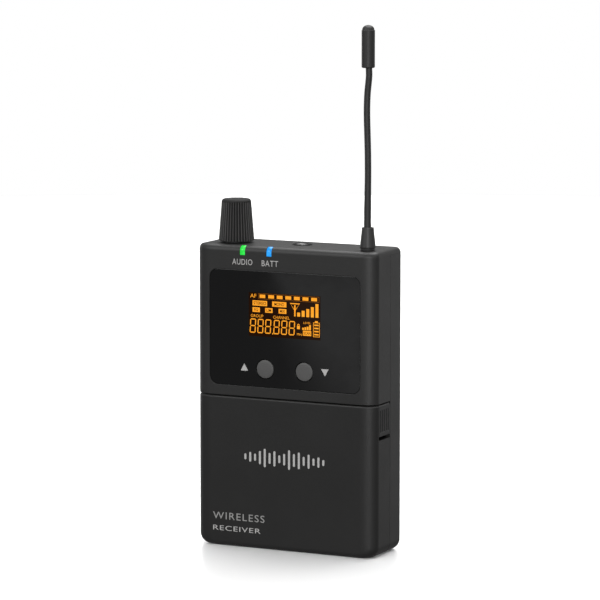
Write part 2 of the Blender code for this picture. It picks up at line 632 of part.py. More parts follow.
def main():
    """Build the receiver."""
    for obj in list(bpy.data.objects):
        bpy.data.objects.remove(obj, do_unlink=True)
    frame = bpy.data.objects.new("body_frame", None)
    frame.location = (0, FRAME_SHIFT_Y * MM, 0)
    bpy.context.scene.collection.objects.link(frame)

    case_black = material("case_black", (0.028, 0.028, 0.029), 0.55)
    door_black = material("door_black", (0.022, 0.022, 0.023), 0.55)
    window_black = material("window_black", (0.01, 0.01, 0.011), 0.12)
    knob_black = material("knob_black", (0.02, 0.02, 0.02), 0.5)
    rubber_black = material("rubber_black", (0.015, 0.015, 0.015), 0.6)
    button_grey = material("button_grey", (0.085, 0.085, 0.085), 0.5)
    plastic_black = material("plastic_black", (0.02, 0.02, 0.02), 0.45)
    amber = material("amber_display", (0.9, 0.35, 0.03), 0.3)
    steel = material("steel", (0.5, 0.5, 0.5), 0.3, 1.0)
    black_steel = material("black_steel", (0.03, 0.03, 0.03), 0.4, 0.6)
    chrome = material("chrome", (0.8, 0.8, 0.8), 0.1, 1.0)
    board_green = material("board_green", (0.02, 0.12, 0.05), 0.4)
    white = material("backlight_white", (0.8, 0.8, 0.8), 0.5)
    ribbon = material("ribbon_orange", (0.5, 0.2, 0.03), 0.4)
    cell_grey = material("cell_grey", (0.3, 0.3, 0.32), 0.35, 0.5)
    lens = {"audio": material("green_lens", (0.05, 0.8, 0.12), 0.3),
            "battery": material("blue_lens", (0.05, 0.35, 0.85), 0.3)}

    front_shell(case_black)
    rear_shell(case_black)
    battery_door(door_black)
    latch("latch_left", -1, door_black)
    latch("latch_right", 1, door_black)
    hinge_pins(steel)
    display(window_black, amber, plastic_black, white, ribbon)
    buttons(button_grey, plastic_black)
    lights(lens)
    electronics(board_green, steel, plastic_black)
    volume_control(plastic_black, steel, knob_black)
    phones_socket(plastic_black, chrome)
    aerial(rubber_black, steel)
    battery_bay(plastic_black, cell_grey, steel)
    case_screws(steel)
    belt_clip(black_steel, steel)


main()
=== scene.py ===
"""Looks of the belt-pack wireless receiver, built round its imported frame.

Lengths are in millimetres in the case's own frame: x = 0 and y = 0 in the middle of the case and
z = 0 under it. Every piece becomes metres in the row frame when it is made.
"""
import math

import bmesh
import bpy
from mathutils import Matrix, Vector


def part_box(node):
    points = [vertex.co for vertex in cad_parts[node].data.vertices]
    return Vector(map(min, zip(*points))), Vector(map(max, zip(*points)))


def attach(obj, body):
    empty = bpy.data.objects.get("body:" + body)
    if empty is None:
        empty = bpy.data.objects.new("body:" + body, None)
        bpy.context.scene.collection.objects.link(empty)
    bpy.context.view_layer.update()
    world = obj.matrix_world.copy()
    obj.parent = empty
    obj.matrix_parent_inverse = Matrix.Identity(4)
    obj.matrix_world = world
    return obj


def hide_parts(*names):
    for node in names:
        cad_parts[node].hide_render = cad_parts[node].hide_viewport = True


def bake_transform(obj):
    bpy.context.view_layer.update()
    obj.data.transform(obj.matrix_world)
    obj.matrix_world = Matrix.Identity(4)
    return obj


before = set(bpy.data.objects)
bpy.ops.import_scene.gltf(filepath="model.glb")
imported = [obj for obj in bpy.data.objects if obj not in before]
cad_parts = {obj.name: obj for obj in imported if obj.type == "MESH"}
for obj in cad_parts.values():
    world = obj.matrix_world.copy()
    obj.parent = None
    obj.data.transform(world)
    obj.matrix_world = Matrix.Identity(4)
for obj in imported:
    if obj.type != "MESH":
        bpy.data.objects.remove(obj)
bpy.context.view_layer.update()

MM = 0.001


class Extent:
    """The box of a CAD node, in millimetres in the case's frame."""

    def __init__(self, node, shift=0.0):
        low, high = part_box(node)
        self.x0, self.y0, self.z0 = (value / MM for value in low)
        self.x1, self.y1, self.z1 = (value / MM for value in high)
        self.y0 -= shift
        self.y1 -= shift
        self.x = (self.x0 + self.x1) / 2
        self.y = (self.y0 + self.y1) / 2
        self.z = (self.z0 + self.z1) / 2


CASE_Y = Extent("front_shell").y
CASE = Extent("front_shell", CASE_Y)
HALF_W = CASE.x1
FRONT = CASE.y0
BACK = CASE.y1
TOP = CASE.z1


def node_box(node):
    """Extent of a CAD node in the case's frame."""
    return Extent(node, CASE_Y)


# Case edges and walls in millimetres
FRONT_ROLL = (5.5, 3.5)
BACK_EDGE_R = 2.2
TOP_EDGE_R = 1.75
CORNER_R = 3.5
BASE_EDGE_R = 1.5
SEAM_R = 0.12
FINE_GAP = 0.06
FRONT_WALL = 2.4
WALL = 1.6
TOP_WALL = 1.8
DOOR_EDGE_R = 0.45
DOOR_LIP = node_box("battery_door").z1 + 0.09
REACH = 60.0

# Hinge lugs of the rear shell and the bores for the door's pins
LUG_X = (14.5, 19.5)
PIN_HOLE_R = 0.6

# Openings for the buttons and in the top wall, and where the light pipes end
BUTTON_HOLE_R = 3.2
SHAFT_HOLE_R = 3.3
JACK_RING_R = 3.1
JACK_HOLE_R = 3.25
AERIAL_HOLE_R = 1.95
PIPE_END_Y = -9.1

# The display's opening in the window, and how far printed shapes stand over their ground
DISPLAY_X = (-12.6, 12.6)
DISPLAY_Z = (68.45, 82.4)
DISPLAY_W = DISPLAY_X[1] - DISPLAY_X[0]
DISPLAY_H = DISPLAY_Z[1] - DISPLAY_Z[0]
FILM = 0.015

# Studio: the lens in degrees and millimetres, the room's light and the floor in metres
VIEW = (26.07, 7.51)
AIM = (0.4, 78.66)
LENS_AWAY = 1148.7
ROOM_LEVEL = 0.19
CARD_LEVEL = 0.42
FLOOR_R = 1.1


# Outlines and solids

def arc(cx, cy, radius, start, end, steps, radius_y=None):
    """Points of a round or elliptical arc, angles in degrees, both ends included."""
    points = []
    for i in range(steps + 1):
        angle = math.radians(start + (end - start) * i / steps)
        points.append((cx + radius * math.cos(angle), cy + (radius_y or radius) * math.sin(angle)))
    return points


def rounded(x0, x1, y0, y1, radius, steps=8):
    """Outline of a rectangle with round corners."""
    return (arc(x0 + radius, y0 + radius, radius, 180, 270, steps)
            + arc(x1 - radius, y0 + radius, radius, 270, 360, steps)
            + arc(x1 - radius, y1 - radius, radius, 0, 90, steps)
            + arc(x0 + radius, y1 - radius, radius, 90, 180, steps))


def circle(cx, cy, radius, sides):
    """Points once round a circle."""
    return arc(cx, cy, radius, 0, 360, sides)[:-1]


def loft(rings, hollow=False):
    """Closed solid through rings of equal counts; a hollow one joins its last ring to its first."""
    bm = bmesh.new()
    rows = [[bm.verts.new(point) for point in ring] for ring in rings]
    for low, high in zip(rows, rows[1:] + rows[:1] if hollow else rows[1:]):
        for i in range(len(low)):
            j = (i + 1) % len(low)
            bm.faces.new((low[i], low[j], high[j], high[i]))
    if not hollow:
        bm.faces.new(list(reversed(rows[0])))
        bm.faces.new(rows[-1])
    bmesh.ops.recalc_face_normals(bm, faces=bm.faces)
    return bm


def box(x0, x1, y0, y1, z0, z1):
    """Block between two corners."""
    flat = [(x0, y0), (x1, y0), (x1, y1), (x0, y1)]
    return loft([along("Z", z, flat) for z in (z0, z1)])


def along(axis, level, outline):
    """A flat outline placed across an axis: (y, z) for X, (x, z) for Y and (x, y) for Z."""
    if axis == "X":
        return [(level, u, v) for u, v in outline]
    if axis == "Y":
        return [(u, level, v) for u, v in outline]
    return [(u, v, level) for u, v in outline]


def prism(outline, low, high, axis):
    """Outline extruded along an axis."""
    return loft([along(axis, low, outline), along(axis, high, outline)])


def bar(cu, cv, radius, low, high, axis, sides=40):
    """Round bar along an axis."""
    return prism(circle(cu, cv, radius, sides), low, high, axis)


def turned(profile, axis, cu, cv, sides=64, hollow=False):
    """Solid of revolution from (radius, level) points along an axis through (cu, cv)."""
    return loft([along(axis, level, circle(cu, cv, radius, sides)) for radius, level in profile], hollow)


def smooth_path(points, steps):
    """Points of a Catmull-Rom curve through the given points."""
    path = []
    count = len(points)
    for i in range(count - 1):
        p0, p1 = points[max(i - 1, 0)], points[i]
        p2, p3 = points[i + 1], points[min(i + 2, count - 1)]
        for k in range(steps):
            t = k / steps
            path.append(tuple(
                0.5 * (2 * b + (c - a) * t + (2 * a - 5 * b + 4 * c - d) * t ** 2
                       + (3 * b - a - 3 * c + d) * t ** 3)
                for a, b, c, d in zip(p0, p1, p2, p3)))
    path.append(tuple(points[-1]))
    return path


def swept(path, radii, sides=24):
    """Round solid along a path with a radius at every point."""
    rings = []
    side = Vector((1, 0, 0))
    for i, point in enumerate(path):
        ahead = Vector(path[min(i + 1, len(path) - 1)]) - Vector(path[max(i - 1, 0)])
        ahead.normalize()
        side = (side - ahead * side.dot(ahead)).normalized()
        up = ahead.cross(side)
        ring = []
        for k in range(sides):
            angle = 2 * math.pi * k / sides
            ring.append(Vector(point) + (side * math.cos(angle) + up * math.sin(angle)) * radii[i])
        rings.append(ring)
    return loft(rings)


def softened(half, edge):
    """(x, shrink) steps across a piece with softened long edges."""
    return (-half, edge), (-half + edge, 0.0), (half - edge, 0.0), (half, edge)


def strip(path, thickness, half_width, edge=0.12):
    """Bent sheet across X with softened long edges, from (y, z) points of its middle line."""
    rows = []
    for x, shrink in softened(half_width, edge):
        left, right = [], []
        for i, (y, z) in enumerate(path):
            run = Vector(path[min(i + 1, len(path) - 1)]) - Vector(path[max(i - 1, 0)])
            run.normalize()
            side = Vector((-run.y, run.x)) * (thickness / 2 - shrink)
            left.append((x, y + side.x, z + side.y))
            right.append((x, y - side.x, z - side.y))
        rows.append(left + right[::-1])
    return loft(rows)


def together(*shapes):
    """Several shapes in one mesh."""
    whole = bmesh.new()
    for shape in shapes:
        scratch = bpy.data.meshes.new("scratch")
        shape.to_mesh(scratch)
        shape.free()
        whole.from_mesh(scratch)
        bpy.data.meshes.remove(scratch)
    return whole


def mirrored(make, *args):
    """A shape and its mirror image in the plane x = 0."""
    twin = make(*args)
    for vert in twin.verts:
        vert.co.x = -vert.co.x
    bmesh.ops.reverse_faces(twin, faces=twin.faces)
    return together(make(*args), twin)


# Objects

def thing(name, shape):
    """Object from a shape, in the row frame."""
    shape.transform(Matrix.Scale(MM, 4) @ Matrix.Translation((0, CASE_Y, 0)))
    mesh = bpy.data.meshes.new(name)
    shape.to_mesh(mesh)
    shape.free()
    obj = bpy.data.objects.new(name, mesh)
    bpy.context.scene.collection.objects.link(obj)
    return obj


def settle(obj):
    """Apply an object's modifiers."""
    graph = bpy.context.evaluated_depsgraph_get()
    graph.update()
    mesh = bpy.data.meshes.new_from_object(obj.evaluated_get(graph), depsgraph=graph)
    obj.modifiers.clear()
    obj.data = mesh
    return obj


def carve(obj, operation, shape):
    """Boolean with a shape, applied at once."""
    helper = thing("helper", shape)
    modifier = obj.modifiers.new("carve", "BOOLEAN")
    modifier.operation = operation
    modifier.solver = "EXACT"
    modifier.object = helper
    settle(obj)
    bpy.data.objects.remove(helper)
    return obj


def cut(obj, shape):
    """Take a shape away."""
    return carve(obj, "DIFFERENCE", shape)


def join(obj, shape):
    """Fuse a shape on."""
    return carve(obj, "UNION", shape)


def soften(obj, width):
    """Round the sharp edges."""
    bevel = obj.modifiers.new("soften", "BEVEL")
    bevel.width = width * MM
    bevel.segments = 2
    bevel.limit_method = "ANGLE"
    bevel.angle_limit = math.radians(40)
    bevel.harden_normals = False
    return settle(obj)


def coat(obj, finish):
    """Put one named finish on an object."""
    obj.data.materials.clear()
    obj.data.materials.append(FINISH[finish])


def plain(name, shape, finish, body="housing"):
    """Flat print or lit shape, which needs no smooth shading."""
    obj = thing(name, shape)
    coat(obj, finish)
    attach(obj, body)


def dress(obj, finish, body="housing", replaces=(), sharp=32):
    """Give a piece its finish, its shading, the body that it rides on and the nodes it stands for."""
    coat(obj, finish)
    obj.data.shade_smooth()
    obj.data.set_sharp_from_angle(angle=math.radians(sharp))
    weighted = obj.modifiers.new("weighted", "WEIGHTED_NORMAL")
    weighted.keep_sharp = True
    if body:
        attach(obj, body)
    if replaces:
        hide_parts(*replaces)
    return obj


# Shader maths

class Wire:
    """One output of a material's node tree, so that shader maths reads as an expression."""

    def __init__(self, paint, socket):
        self.paint = paint
        self.socket = socket

    def __add__(self, other):
        return self.paint.maths("ADD", self, other)

    def __sub__(self, other):
        return self.paint.maths("SUBTRACT", self, other)

    def __rsub__(self, other):
        return self.paint.maths("SUBTRACT", other, self)

    def __mul__(self, other):
        return self.paint.maths("MULTIPLY", self, other)

    __radd__ = __add__
    __rmul__ = __mul__


class Paint:
    """A material in the making."""

    def __init__(self, name):
        self.material = bpy.data.materials.new(name)
        self.material.use_nodes = True
        self.tree = self.material.node_tree
        self.shader = self.tree.nodes["Principled BSDF"]
        self.place = self.node("ShaderNodeTexCoord", out="Object")

    def put(self, socket, value):
        """Link a wire or set a plain value."""
        if isinstance(value, Wire):
            self.tree.links.new(value.socket, socket)
        else:
            socket.default_value = value

    def node(self, kind, settings=None, values=None, out=0):
        """Add a node: its settings first, then its sockets, and return one output."""
        made = self.tree.nodes.new(kind)
        for key, value in (settings or {}).items():
            if key == "stops":
                ramp = made.color_ramp.elements
                ramp[0].position, ramp[0].color = value[0]
                ramp[1].position, ramp[1].color = value[-1]
                for position, colour in value[1:-1]:
                    ramp.new(position).color = colour
            else:
                setattr(made, key, value)
        for key, value in (values or {}).items():
            self.put(made.inputs[key], value)
        return Wire(self, made.outputs[out])

    def maths(self, operation, a, b):
        """One Math node."""
        return self.node("ShaderNodeMath", {"operation": operation}, {0: a, 1: b})

    def noise(self, scale, detail, rough, place=None):
        """Noise about 1 / scale metres across."""
        return self.node("ShaderNodeTexNoise", None, {
            "Vector": place or self.place, "Scale": scale, "Detail": detail, "Roughness": rough}, "Fac")

    def clouds(self, scale, detail=3.0, low=0.3, high=0.7, rough=0.6):
        """Soft patches between 0 and 1."""
        return self.ramp(self.noise(scale, detail, rough), low, high)

    def mix(self, factor, first, second):
        """Colour between two colours."""
        return self.node("ShaderNodeMix", {"data_type": "RGBA"},
                         {0: factor, 6: first, 7: second}, 2)

    def ramp(self, factor, low, high):
        """Remap a wire so that low becomes 0 and high becomes 1, clamped."""
        return self.node("ShaderNodeMapRange", {"clamp": True}, {
            "Value": factor, "From Min": low, "From Max": high, "To Min": 0.0, "To Max": 1.0})

    def bump(self, height, distance, strength=1.0):
        """Bump into the shader's normal."""
        self.put(self.shader.inputs["Normal"],
                 self.node("ShaderNodeBump", None,
                           {"Height": height, "Distance": distance, "Strength": strength}, "Normal"))

    def set(self, **values):
        """Set or link the shader's own sockets."""
        for key, value in values.items():
            self.put(self.shader.inputs[key.replace("_", " ")], value)
        return self


def rgb(red, green, blue):
    """Colour with full alpha."""
    return (red, green, blue, 1.0)


def shaded(colour, factor, lift=0.0):
    """A colour made darker or lighter."""
    return tuple(min(1.0, c * factor + lift) for c in colour[:3]) + (1.0,)


def grey(level):
    """Neutral colour, a breath warmer than grey."""
    return rgb(level * 1.01, level, level * 0.985)


def moulded(name, level, roughness=0.5, grain=0.5, coat=0.0, highlight_band=None):
    """Moulded plastic: spark-eroded grain, flow clouds and, given a band of heights, a painted highlight
    that lightens the top edge.
    """
    paint = Paint(name)
    fine = paint.noise(5200.0, 2.0, 0.6)
    coarse = paint.noise(1900.0, 3.0, 0.5)
    clouds = paint.clouds(60.0, 4.0)
    tone = paint.mix(clouds, grey(level * 0.94), grey(level * 1.06))
    # Painted highlight: the colour grows lighter up through the given band of heights, as if the edge
    # caught light from above.
    if highlight_band:
        height = paint.node("ShaderNodeSeparateXYZ", None, {0: paint.place}, "Z")
        edge_highlight = paint.ramp(height, highlight_band[0] * MM, highlight_band[1] * MM)
        tone = paint.mix(edge_highlight * 0.9, tone, grey(level * 6.0))
    speck = paint.ramp(fine, 0.35, 0.7)
    paint.set(Base_Color=paint.mix(speck * 0.25, tone, grey(level * 1.35)),
              Roughness=roughness + (clouds - 0.5) * 0.06 + (fine - 0.5) * 0.1, Coat_Weight=coat)
    paint.bump(fine * 0.6 + coarse * 0.4, 0.00006 * grain, 1.0)
    return paint.material


def gloss(name, colour, roughness=0.08, wave=0.3, mirror=0.5):
    """Polished plastic or acrylic: very faint waviness and dust-fine scuffs."""
    paint = Paint(name)
    waves = paint.noise(90.0, 1.0, 0.4)
    dust = paint.clouds(3000.0, 3.0, 0.62, 0.8, 0.7)
    haze = paint.clouds(140.0, 4.0, 0.4, 0.75)
    paint.set(Base_Color=paint.mix(dust * 0.35, colour, shaded(colour, 1.6, 0.002)),
              Roughness=roughness + haze * 0.05 + dust * 0.08, Specular_IOR_Level=mirror)
    paint.bump(waves, 0.00004 * wave, 0.4)
    return paint.material


def metal(name, colour, roughness=0.3, brushed=(1.0, 1.0, 1.0), tarnish=0.15):
    """Metal with fine drawn lines and a little tarnish."""
    paint = Paint(name)
    stretch = paint.node("ShaderNodeVectorMath", {"operation": "MULTIPLY"}, {0: paint.place, 1: brushed})
    lines = paint.noise(2500.0, 3.0, 0.6, stretch)
    patches = paint.clouds(300.0, 3.0, 0.45, 0.8)
    paint.set(Base_Color=paint.mix(patches, colour, shaded(colour, 1 - tarnish)),
              Roughness=roughness + (lines - 0.5) * 0.15 + patches * 0.08, Metallic=1.0)
    paint.bump(lines, 0.00001, 0.6)
    return paint.material


def lit(name, colour, strength, core):
    """Plastic lens lit from inside, brighter in its clouds."""
    paint = Paint(name)
    glow = paint.clouds(900.0, 2.0, rough=0.5)
    paint.set(Base_Color=shaded(colour, 0.3), Roughness=0.25 + glow * 0.05,
              Emission_Color=paint.mix(glow, colour, core), Emission_Strength=strength)
    return paint.material


def ink(name, level):
    """Pad-printed ink: slightly uneven edge-to-edge cover."""
    paint = Paint(name)
    cover = paint.clouds(2600.0)
    paint.set(Base_Color=paint.mix(cover, grey(level * 0.88), grey(level)), Roughness=0.5 + cover * 0.1)
    return paint.material


def fluted_finish():
    """Moulded knob: painted shade in the grooves and on the top, and a painted highlight on the ridges,
    read from the knob's ridge colour attribute.
    """
    paint = Paint("knob_black")
    crest = paint.node("ShaderNodeVertexColor", {"layer_name": "crest"}, None, "Color")
    fine = paint.noise(5200.0, 2.0, 0.6)
    paint.set(Base_Color=paint.mix(crest, grey(0.011), grey(0.105)),
              Roughness=0.72 - crest * 0.3 + (fine - 0.5) * 0.1, Specular_IOR_Level=0.32)
    paint.bump(fine, 0.00002, 0.8)
    return paint.material


def board_finish():
    """Green solder resist with tracks that run both ways."""
    paint = Paint("solder_resist")
    tracks = paint.node("ShaderNodeTexBrick", {"offset": 0.5}, {
        "Vector": paint.place, "Scale": 420.0, "Mortar Size": 0.018, "Color1": rgb(1, 1, 1),
        "Color2": rgb(1, 1, 1), "Mortar": rgb(0, 0, 0)}, "Fac")
    clouds = paint.clouds(200.0)
    green = paint.mix(clouds, rgb(0.006, 0.07, 0.03), rgb(0.01, 0.1, 0.04))
    paint.set(Base_Color=paint.mix(tracks, green, rgb(0.03, 0.2, 0.07)), Roughness=0.35 + clouds * 0.1)
    paint.bump(tracks, 0.00003, 0.5)
    return paint.material


def cell_sleeve():
    """Dark shrink sleeve of a cell."""
    paint = Paint("cell_sleeve")
    clouds = paint.clouds(120.0)
    body = paint.mix(clouds, rgb(0.03, 0.032, 0.036), rgb(0.045, 0.047, 0.052))
    paint.set(Base_Color=body, Roughness=0.28 + clouds * 0.06)
    paint.bump(paint.noise(400.0, 2.0, 0.5), 0.00002, 0.4)
    return paint.material


FINISH = {
    "shell": moulded("shell_black", 0.021, 0.46, 0.8),
    # The door's last argument is the band along its top edge that takes a painted highlight.
    # The door's level lies below the shell's as painted shade, for less light on the lower front from
    # above; the latch tabs share it.
    "door": moulded("door_black", 0.014, 0.46, 0.8, 0.0, (DOOR_LIP - DOOR_EDGE_R * 0.8, DOOR_LIP)),
    "inner": moulded("inner_black", 0.02, 0.5, 0.3),
    "knob": fluted_finish(),
    "rubber": moulded("rubber_black", 0.023, 0.5, 0.4),
    "foot": moulded("foot_rubber", 0.034, 0.42, 0.4),
    "button": moulded("button_grey", 0.102, 0.5, 0.6),
    "window": gloss("window_black", rgb(0.003, 0.003, 0.0032), 0.05),
    "lcd_dark": gloss("display_ground", rgb(0.02, 0.0052, 0.0005), 0.07, 0.3, 0.12),
    "socket": gloss("socket_black", rgb(0.012, 0.012, 0.012), 0.22),
    "chrome": metal("sleeve_chrome", rgb(0.36, 0.36, 0.36), 0.34),
    "steel": metal("plated_steel", rgb(0.55, 0.55, 0.54), 0.28),
    "spring": metal("contact_spring_nickel", rgb(0.66, 0.65, 0.62), 0.22),
    "clip": moulded("clip_black", 0.02, 0.34, 0.25, 0.1),
    "screw": metal("screw_black_zinc", rgb(0.1, 0.1, 0.105), 0.32),
    "board": board_finish(),
    "cell": cell_sleeve(),
    "copper": metal("copper_band", rgb(0.62, 0.3, 0.13), 0.3, (0.2, 1.0, 1.0), 0.2),
    "chip": moulded("chip_epoxy", 0.015, 0.42, 0.3),
    "white": moulded("light_plate_white", 0.75, 0.45, 0.3),
    "ribbon": gloss("ribbon_film", rgb(0.42, 0.17, 0.03), 0.25),
    "print": ink("printed_grey", 0.62),
    "print_soft": ink("printed_soft_grey", 0.42),
    "green": lit("green_light", rgb(0.012, 0.6, 0.04), 0.92, rgb(0.04, 0.9, 0.1)),
    "blue": lit("blue_light", rgb(0.008, 0.28, 0.82), 0.92, rgb(0.04, 0.42, 1.0)),
    "amber": lit("amber_segments", rgb(1.0, 0.34, 0.012), 0.85, rgb(1.0, 0.42, 0.025)),
    "amber_dim": lit("amber_outline", rgb(0.5, 0.15, 0.005), 0.5, rgb(0.55, 0.2, 0.01)),
}


# The case

def quarter(radius, z, upward, steps=7):
    """(height, inset) pairs of a rounded edge that starts or ends at height z."""
    pairs = []
    for i in range(steps + 1):
        angle = math.radians(90 * i / steps)
        if upward:
            pairs.append((z - radius + radius * math.sin(angle), radius * (1 - math.cos(angle))))
        else:
            pairs.append((z + radius * (1 - math.cos(angle)), radius * (1 - math.sin(angle))))
    return pairs


def edge_inset(radius, height):
    """How far a rounded edge lies inside its face, at a height above the edge."""
    if height >= radius:
        return 0.0
    return radius - math.sqrt(max(radius ** 2 - (radius - height) ** 2, 0.0))


def plan(inset_x, near, far, shrink, far_r, roll=FRONT_ROLL):
    """One level of the case: its outline seen from above, with elliptical front corners."""
    w = HALF_W - inset_x
    rx, ry = (max(size - shrink, 0.02) for size in roll)
    far_r = max(far_r, 0.02)
    return (arc(-w + rx, near + ry, rx, 180, 270, 16, ry)
            + arc(w - rx, near + ry, rx, 270, 360, 16, ry)
            + arc(w - far_r, far - far_r, far_r, 0, 90, 8)
            + arc(-w + far_r, far - far_r, far_r, 90, 180, 8))


def base_levels():
    """(height, inset in x, inset in y) where the case curves in at its bottom."""
    heights = {CORNER_R * (1 - math.cos(math.radians(a))) for a in range(0, 91, 9)} | {BASE_EDGE_R}
    return [(z, edge_inset(CORNER_R, z), edge_inset(BASE_EDGE_R, z)) for z in sorted(heights)]


def hollow_levels(z0, z1):
    """(height, inset in x) of a hollow that curves in at its bottom."""
    lift = CORNER_R - WALL
    return [(z0 + lift * (1 - math.cos(math.radians(a))), lift * (1 - math.sin(math.radians(a))))
            for a in range(0, 91, 15)] + [(z1, 0.0)]


def cavity(z0, z1, far):
    """The hollow behind the front between two heights."""
    rings = []
    rx, ry = (size - FRONT_WALL for size in FRONT_ROLL)
    for z, inset in hollow_levels(z0, z1):
        w = HALF_W - WALL - inset
        near = FRONT + FRONT_WALL
        outline = (arc(-w + rx, near + ry, rx, 180, 270, 8, ry)
                   + arc(w - rx, near + ry, rx, 270, 360, 8, ry)
                   + arc(w - 0.6, far - 0.6, 0.6, 0, 90, 3)
                   + arc(-w + 0.6, far - 0.6, 0.6, 90, 180, 3))
        rings.append(along("Z", z, outline))
    return loft(rings)


def battery_door():
    """Lower front cover: rounded top edge, rolled hinge edge, notches for lugs and latches."""
    pin = node_box("hinge_pin_right")
    hinge_y, hinge_z = pin.y, pin.z
    roll = 1.1
    rings = []
    top = quarter(DOOR_EDGE_R, DOOR_LIP, True, 5)
    levels = base_levels() + [(12.0, 0, 0), (30.0, 0, 0)] + [(z, inset, inset) for z, inset in top]
    for z, inset_x, inset_y in levels:
        below = max(hinge_z - z, 0.0)
        far = hinge_y + math.sqrt(max(roll ** 2 - below ** 2, 0.02 ** 2))
        rings.append(along("Z", z, plan(inset_x, FRONT + inset_y, far, inset_y, SEAM_R)))
    obj = thing("battery_door_cover", loft(rings))
    cut(obj, cavity(WALL, REACH, 20.0))
    join(obj, bar(hinge_y, hinge_z, roll, -26, 26, "X", 32))
    latch = node_box("latch_right")
    cut(obj, mirrored(box, LUG_X[0] - 0.3, LUG_X[1] + 0.3, -1.5, 3, -1, 3))
    notch = rounded(latch.y0 - 0.18, REACH, latch.z0 - 1.2, REACH, 0.35, 4)
    cut(obj, mirrored(prism, notch, 27.0, 33.0, "X"))
    cut(obj, mirrored(bar, hinge_y, hinge_z, PIN_HOLE_R, 9.5, 24.5, "X", 20))
    wall = FRONT + FRONT_WALL
    join(obj, together(*[box(x - 0.5, x + 0.5, wall - 0.5, wall + 0.7, 6.0, 44.0)
                         for x in (-20.0, -10.0, 0.0, 10.0, 20.0)]))
    dress(obj, "door", "door", ["battery_door"])


def front_cover():
    """Upper front cover with the whole top wall, the recess for the window and its openings."""
    shell = node_box("front_shell")
    split = node_box("battery_door").y1 + FINE_GAP
    ledge = TOP - TOP_WALL
    rings = []
    levels = [(z, inset, inset, split, SEAM_R) for z, inset in quarter(0.2, shell.z0 - 0.11, False, 3)]
    levels += [(60.0, 0, 0, split, SEAM_R), (80.0, 0, 0, split, SEAM_R), (ledge, 0, 0, split, SEAM_R),
               (ledge + 0.02, 0, 0, BACK, BACK_EDGE_R)]
    levels += [(z, inset, inset, BACK - inset, BACK_EDGE_R - inset)
               for z, inset in quarter(TOP_EDGE_R, TOP, True, 9)]
    for z, inset_x, inset_y, far, far_r in levels:
        rings.append(along("Z", z, plan(inset_x, FRONT + inset_y, far, inset_y, far_r)))
    obj = thing("front_cover", loft(rings))
    cut(obj, cavity(20.0, ledge, 20.0))
    pane = node_box("display_window")
    gap = 0.05
    recess = []
    for y, grow in ((FRONT - 0.1, 0.24), (FRONT + 0.14, 0.0), (FRONT + 1.3, 0.0)):
        g = gap + grow
        outline = rounded(pane.x0 - g, pane.x1 + g, pane.z0 - g, pane.z1 + g, 2.9 + grow, 10)
        recess.append(along("Y", y, outline))
    cut(obj, loft(recess))
    glass = node_box("lcd_glass")
    up = node_box("up_button")
    knob = node_box("pot_shaft")
    jack = node_box("jack_sleeve")
    aerial = node_box("antenna_contact")
    inside = FRONT + FRONT_WALL + 1
    cuts = [box(glass.x0 - 0.5, glass.x1 + 0.5, FRONT, inside, glass.z0 - 0.5, glass.z1 + 0.5),
            mirrored(bar, up.x, up.z, BUTTON_HOLE_R, FRONT, inside, "Y"),
            turned([(SHAFT_HOLE_R, TOP - 3), (SHAFT_HOLE_R, TOP - 0.2), (SHAFT_HOLE_R + 0.3, TOP + 0.1),
                    (SHAFT_HOLE_R + 0.3, TOP + 1)], "Z", knob.x, knob.y),
            bar(jack.x, jack.y, JACK_HOLE_R, TOP - 3, TOP + 1, "Z", 48),
            bar(aerial.x, aerial.y, AERIAL_HOLE_R, TOP - 3, TOP + 1, "Z")]
    for node in ("audio_light_pipe", "battery_light_pipe"):
        pipe = node_box(node)
        half = 0.9
        edge = pipe_path(0.0, 0.12)
        outline = [(FRONT - 1, edge[0][1]), (-8.0, edge[0][1]), (-8.0, 95.3), (edge[-1][0], 95.3),
                   (edge[-1][0], TOP + 1), (FRONT - 1, TOP + 1)]
        cuts.append(prism(outline, pipe.x - half, pipe.x + half, "X"))
    cut(obj, together(*cuts))
    dress(obj, "shell", "housing", ["front_shell"])


def rear_cover():
    """Rear cover: hinge lugs, latch grooves, screw seats."""
    pin = node_box("hinge_pin_right")
    split = node_box("battery_door").y1 + 0.2 - FINE_GAP
    rings = []
    top = quarter(0.08, TOP - TOP_WALL - 0.03, True, 3)
    levels = base_levels() + [(30.0, 0, 0), (60.0, 0, 0)] + [(z, inset, inset) for z, inset in top]
    for z, inset_x, inset_y in levels:
        far_r = max(BACK_EDGE_R - inset_y, 0.3)
        outline = plan(inset_x, split, BACK - inset_y, 0.0, far_r, (SEAM_R, SEAM_R))
        rings.append(along("Z", z, outline))
    obj = thing("rear_cover", loft(rings))
    w = HALF_W - WALL
    cut(obj, loft([along("Z", z, rounded(-w + inset, w - inset, split - 5, BACK - WALL, 0.6, 3))
                   for z, inset in hollow_levels(WALL, REACH * 2)]))
    case_screws = [node_box("case_screw_%d" % i) for i in (1, 2, 3, 4)]
    clip_screws = [node_box("clip_screw_left"), node_box("clip_screw_right")]
    bosses = [bar(s.x, s.z, 3.0, 7.1, BACK - 1, "Y") for s in case_screws]
    bosses += [bar(s.x, s.z, 2.4, 7.4, BACK - 1, "Y") for s in clip_screws]
    join(obj, together(*bosses))
    join(obj, mirrored(box, *LUG_X, 0.75, 2.2, 0.35, 1.5))
    join(obj, mirrored(bar, pin.y, pin.z, 1.05, *LUG_X, "X", 32))
    seat = [(1.25, 6.5), (1.25, 8.4), (2.3, 8.4), (2.3, BACK - 0.2), (2.55, BACK + 0.05), (2.55, 12)]
    holes = [turned(seat, "Y", s.x, s.z, 48) for s in case_screws]
    holes += [bar(s.x, s.z, 1.1, 6.5, 12, "Y") for s in clip_screws]
    cut(obj, together(*holes))
    cut(obj, mirrored(bar, pin.y, pin.z, PIN_HOLE_R, 10, 24, "X", 20))
    cut(obj, mirrored(box, 29.0, 30.6, split - 1, 3.5, 40.0, 47.7))
    dress(obj, "shell", "housing", ["rear_shell"])


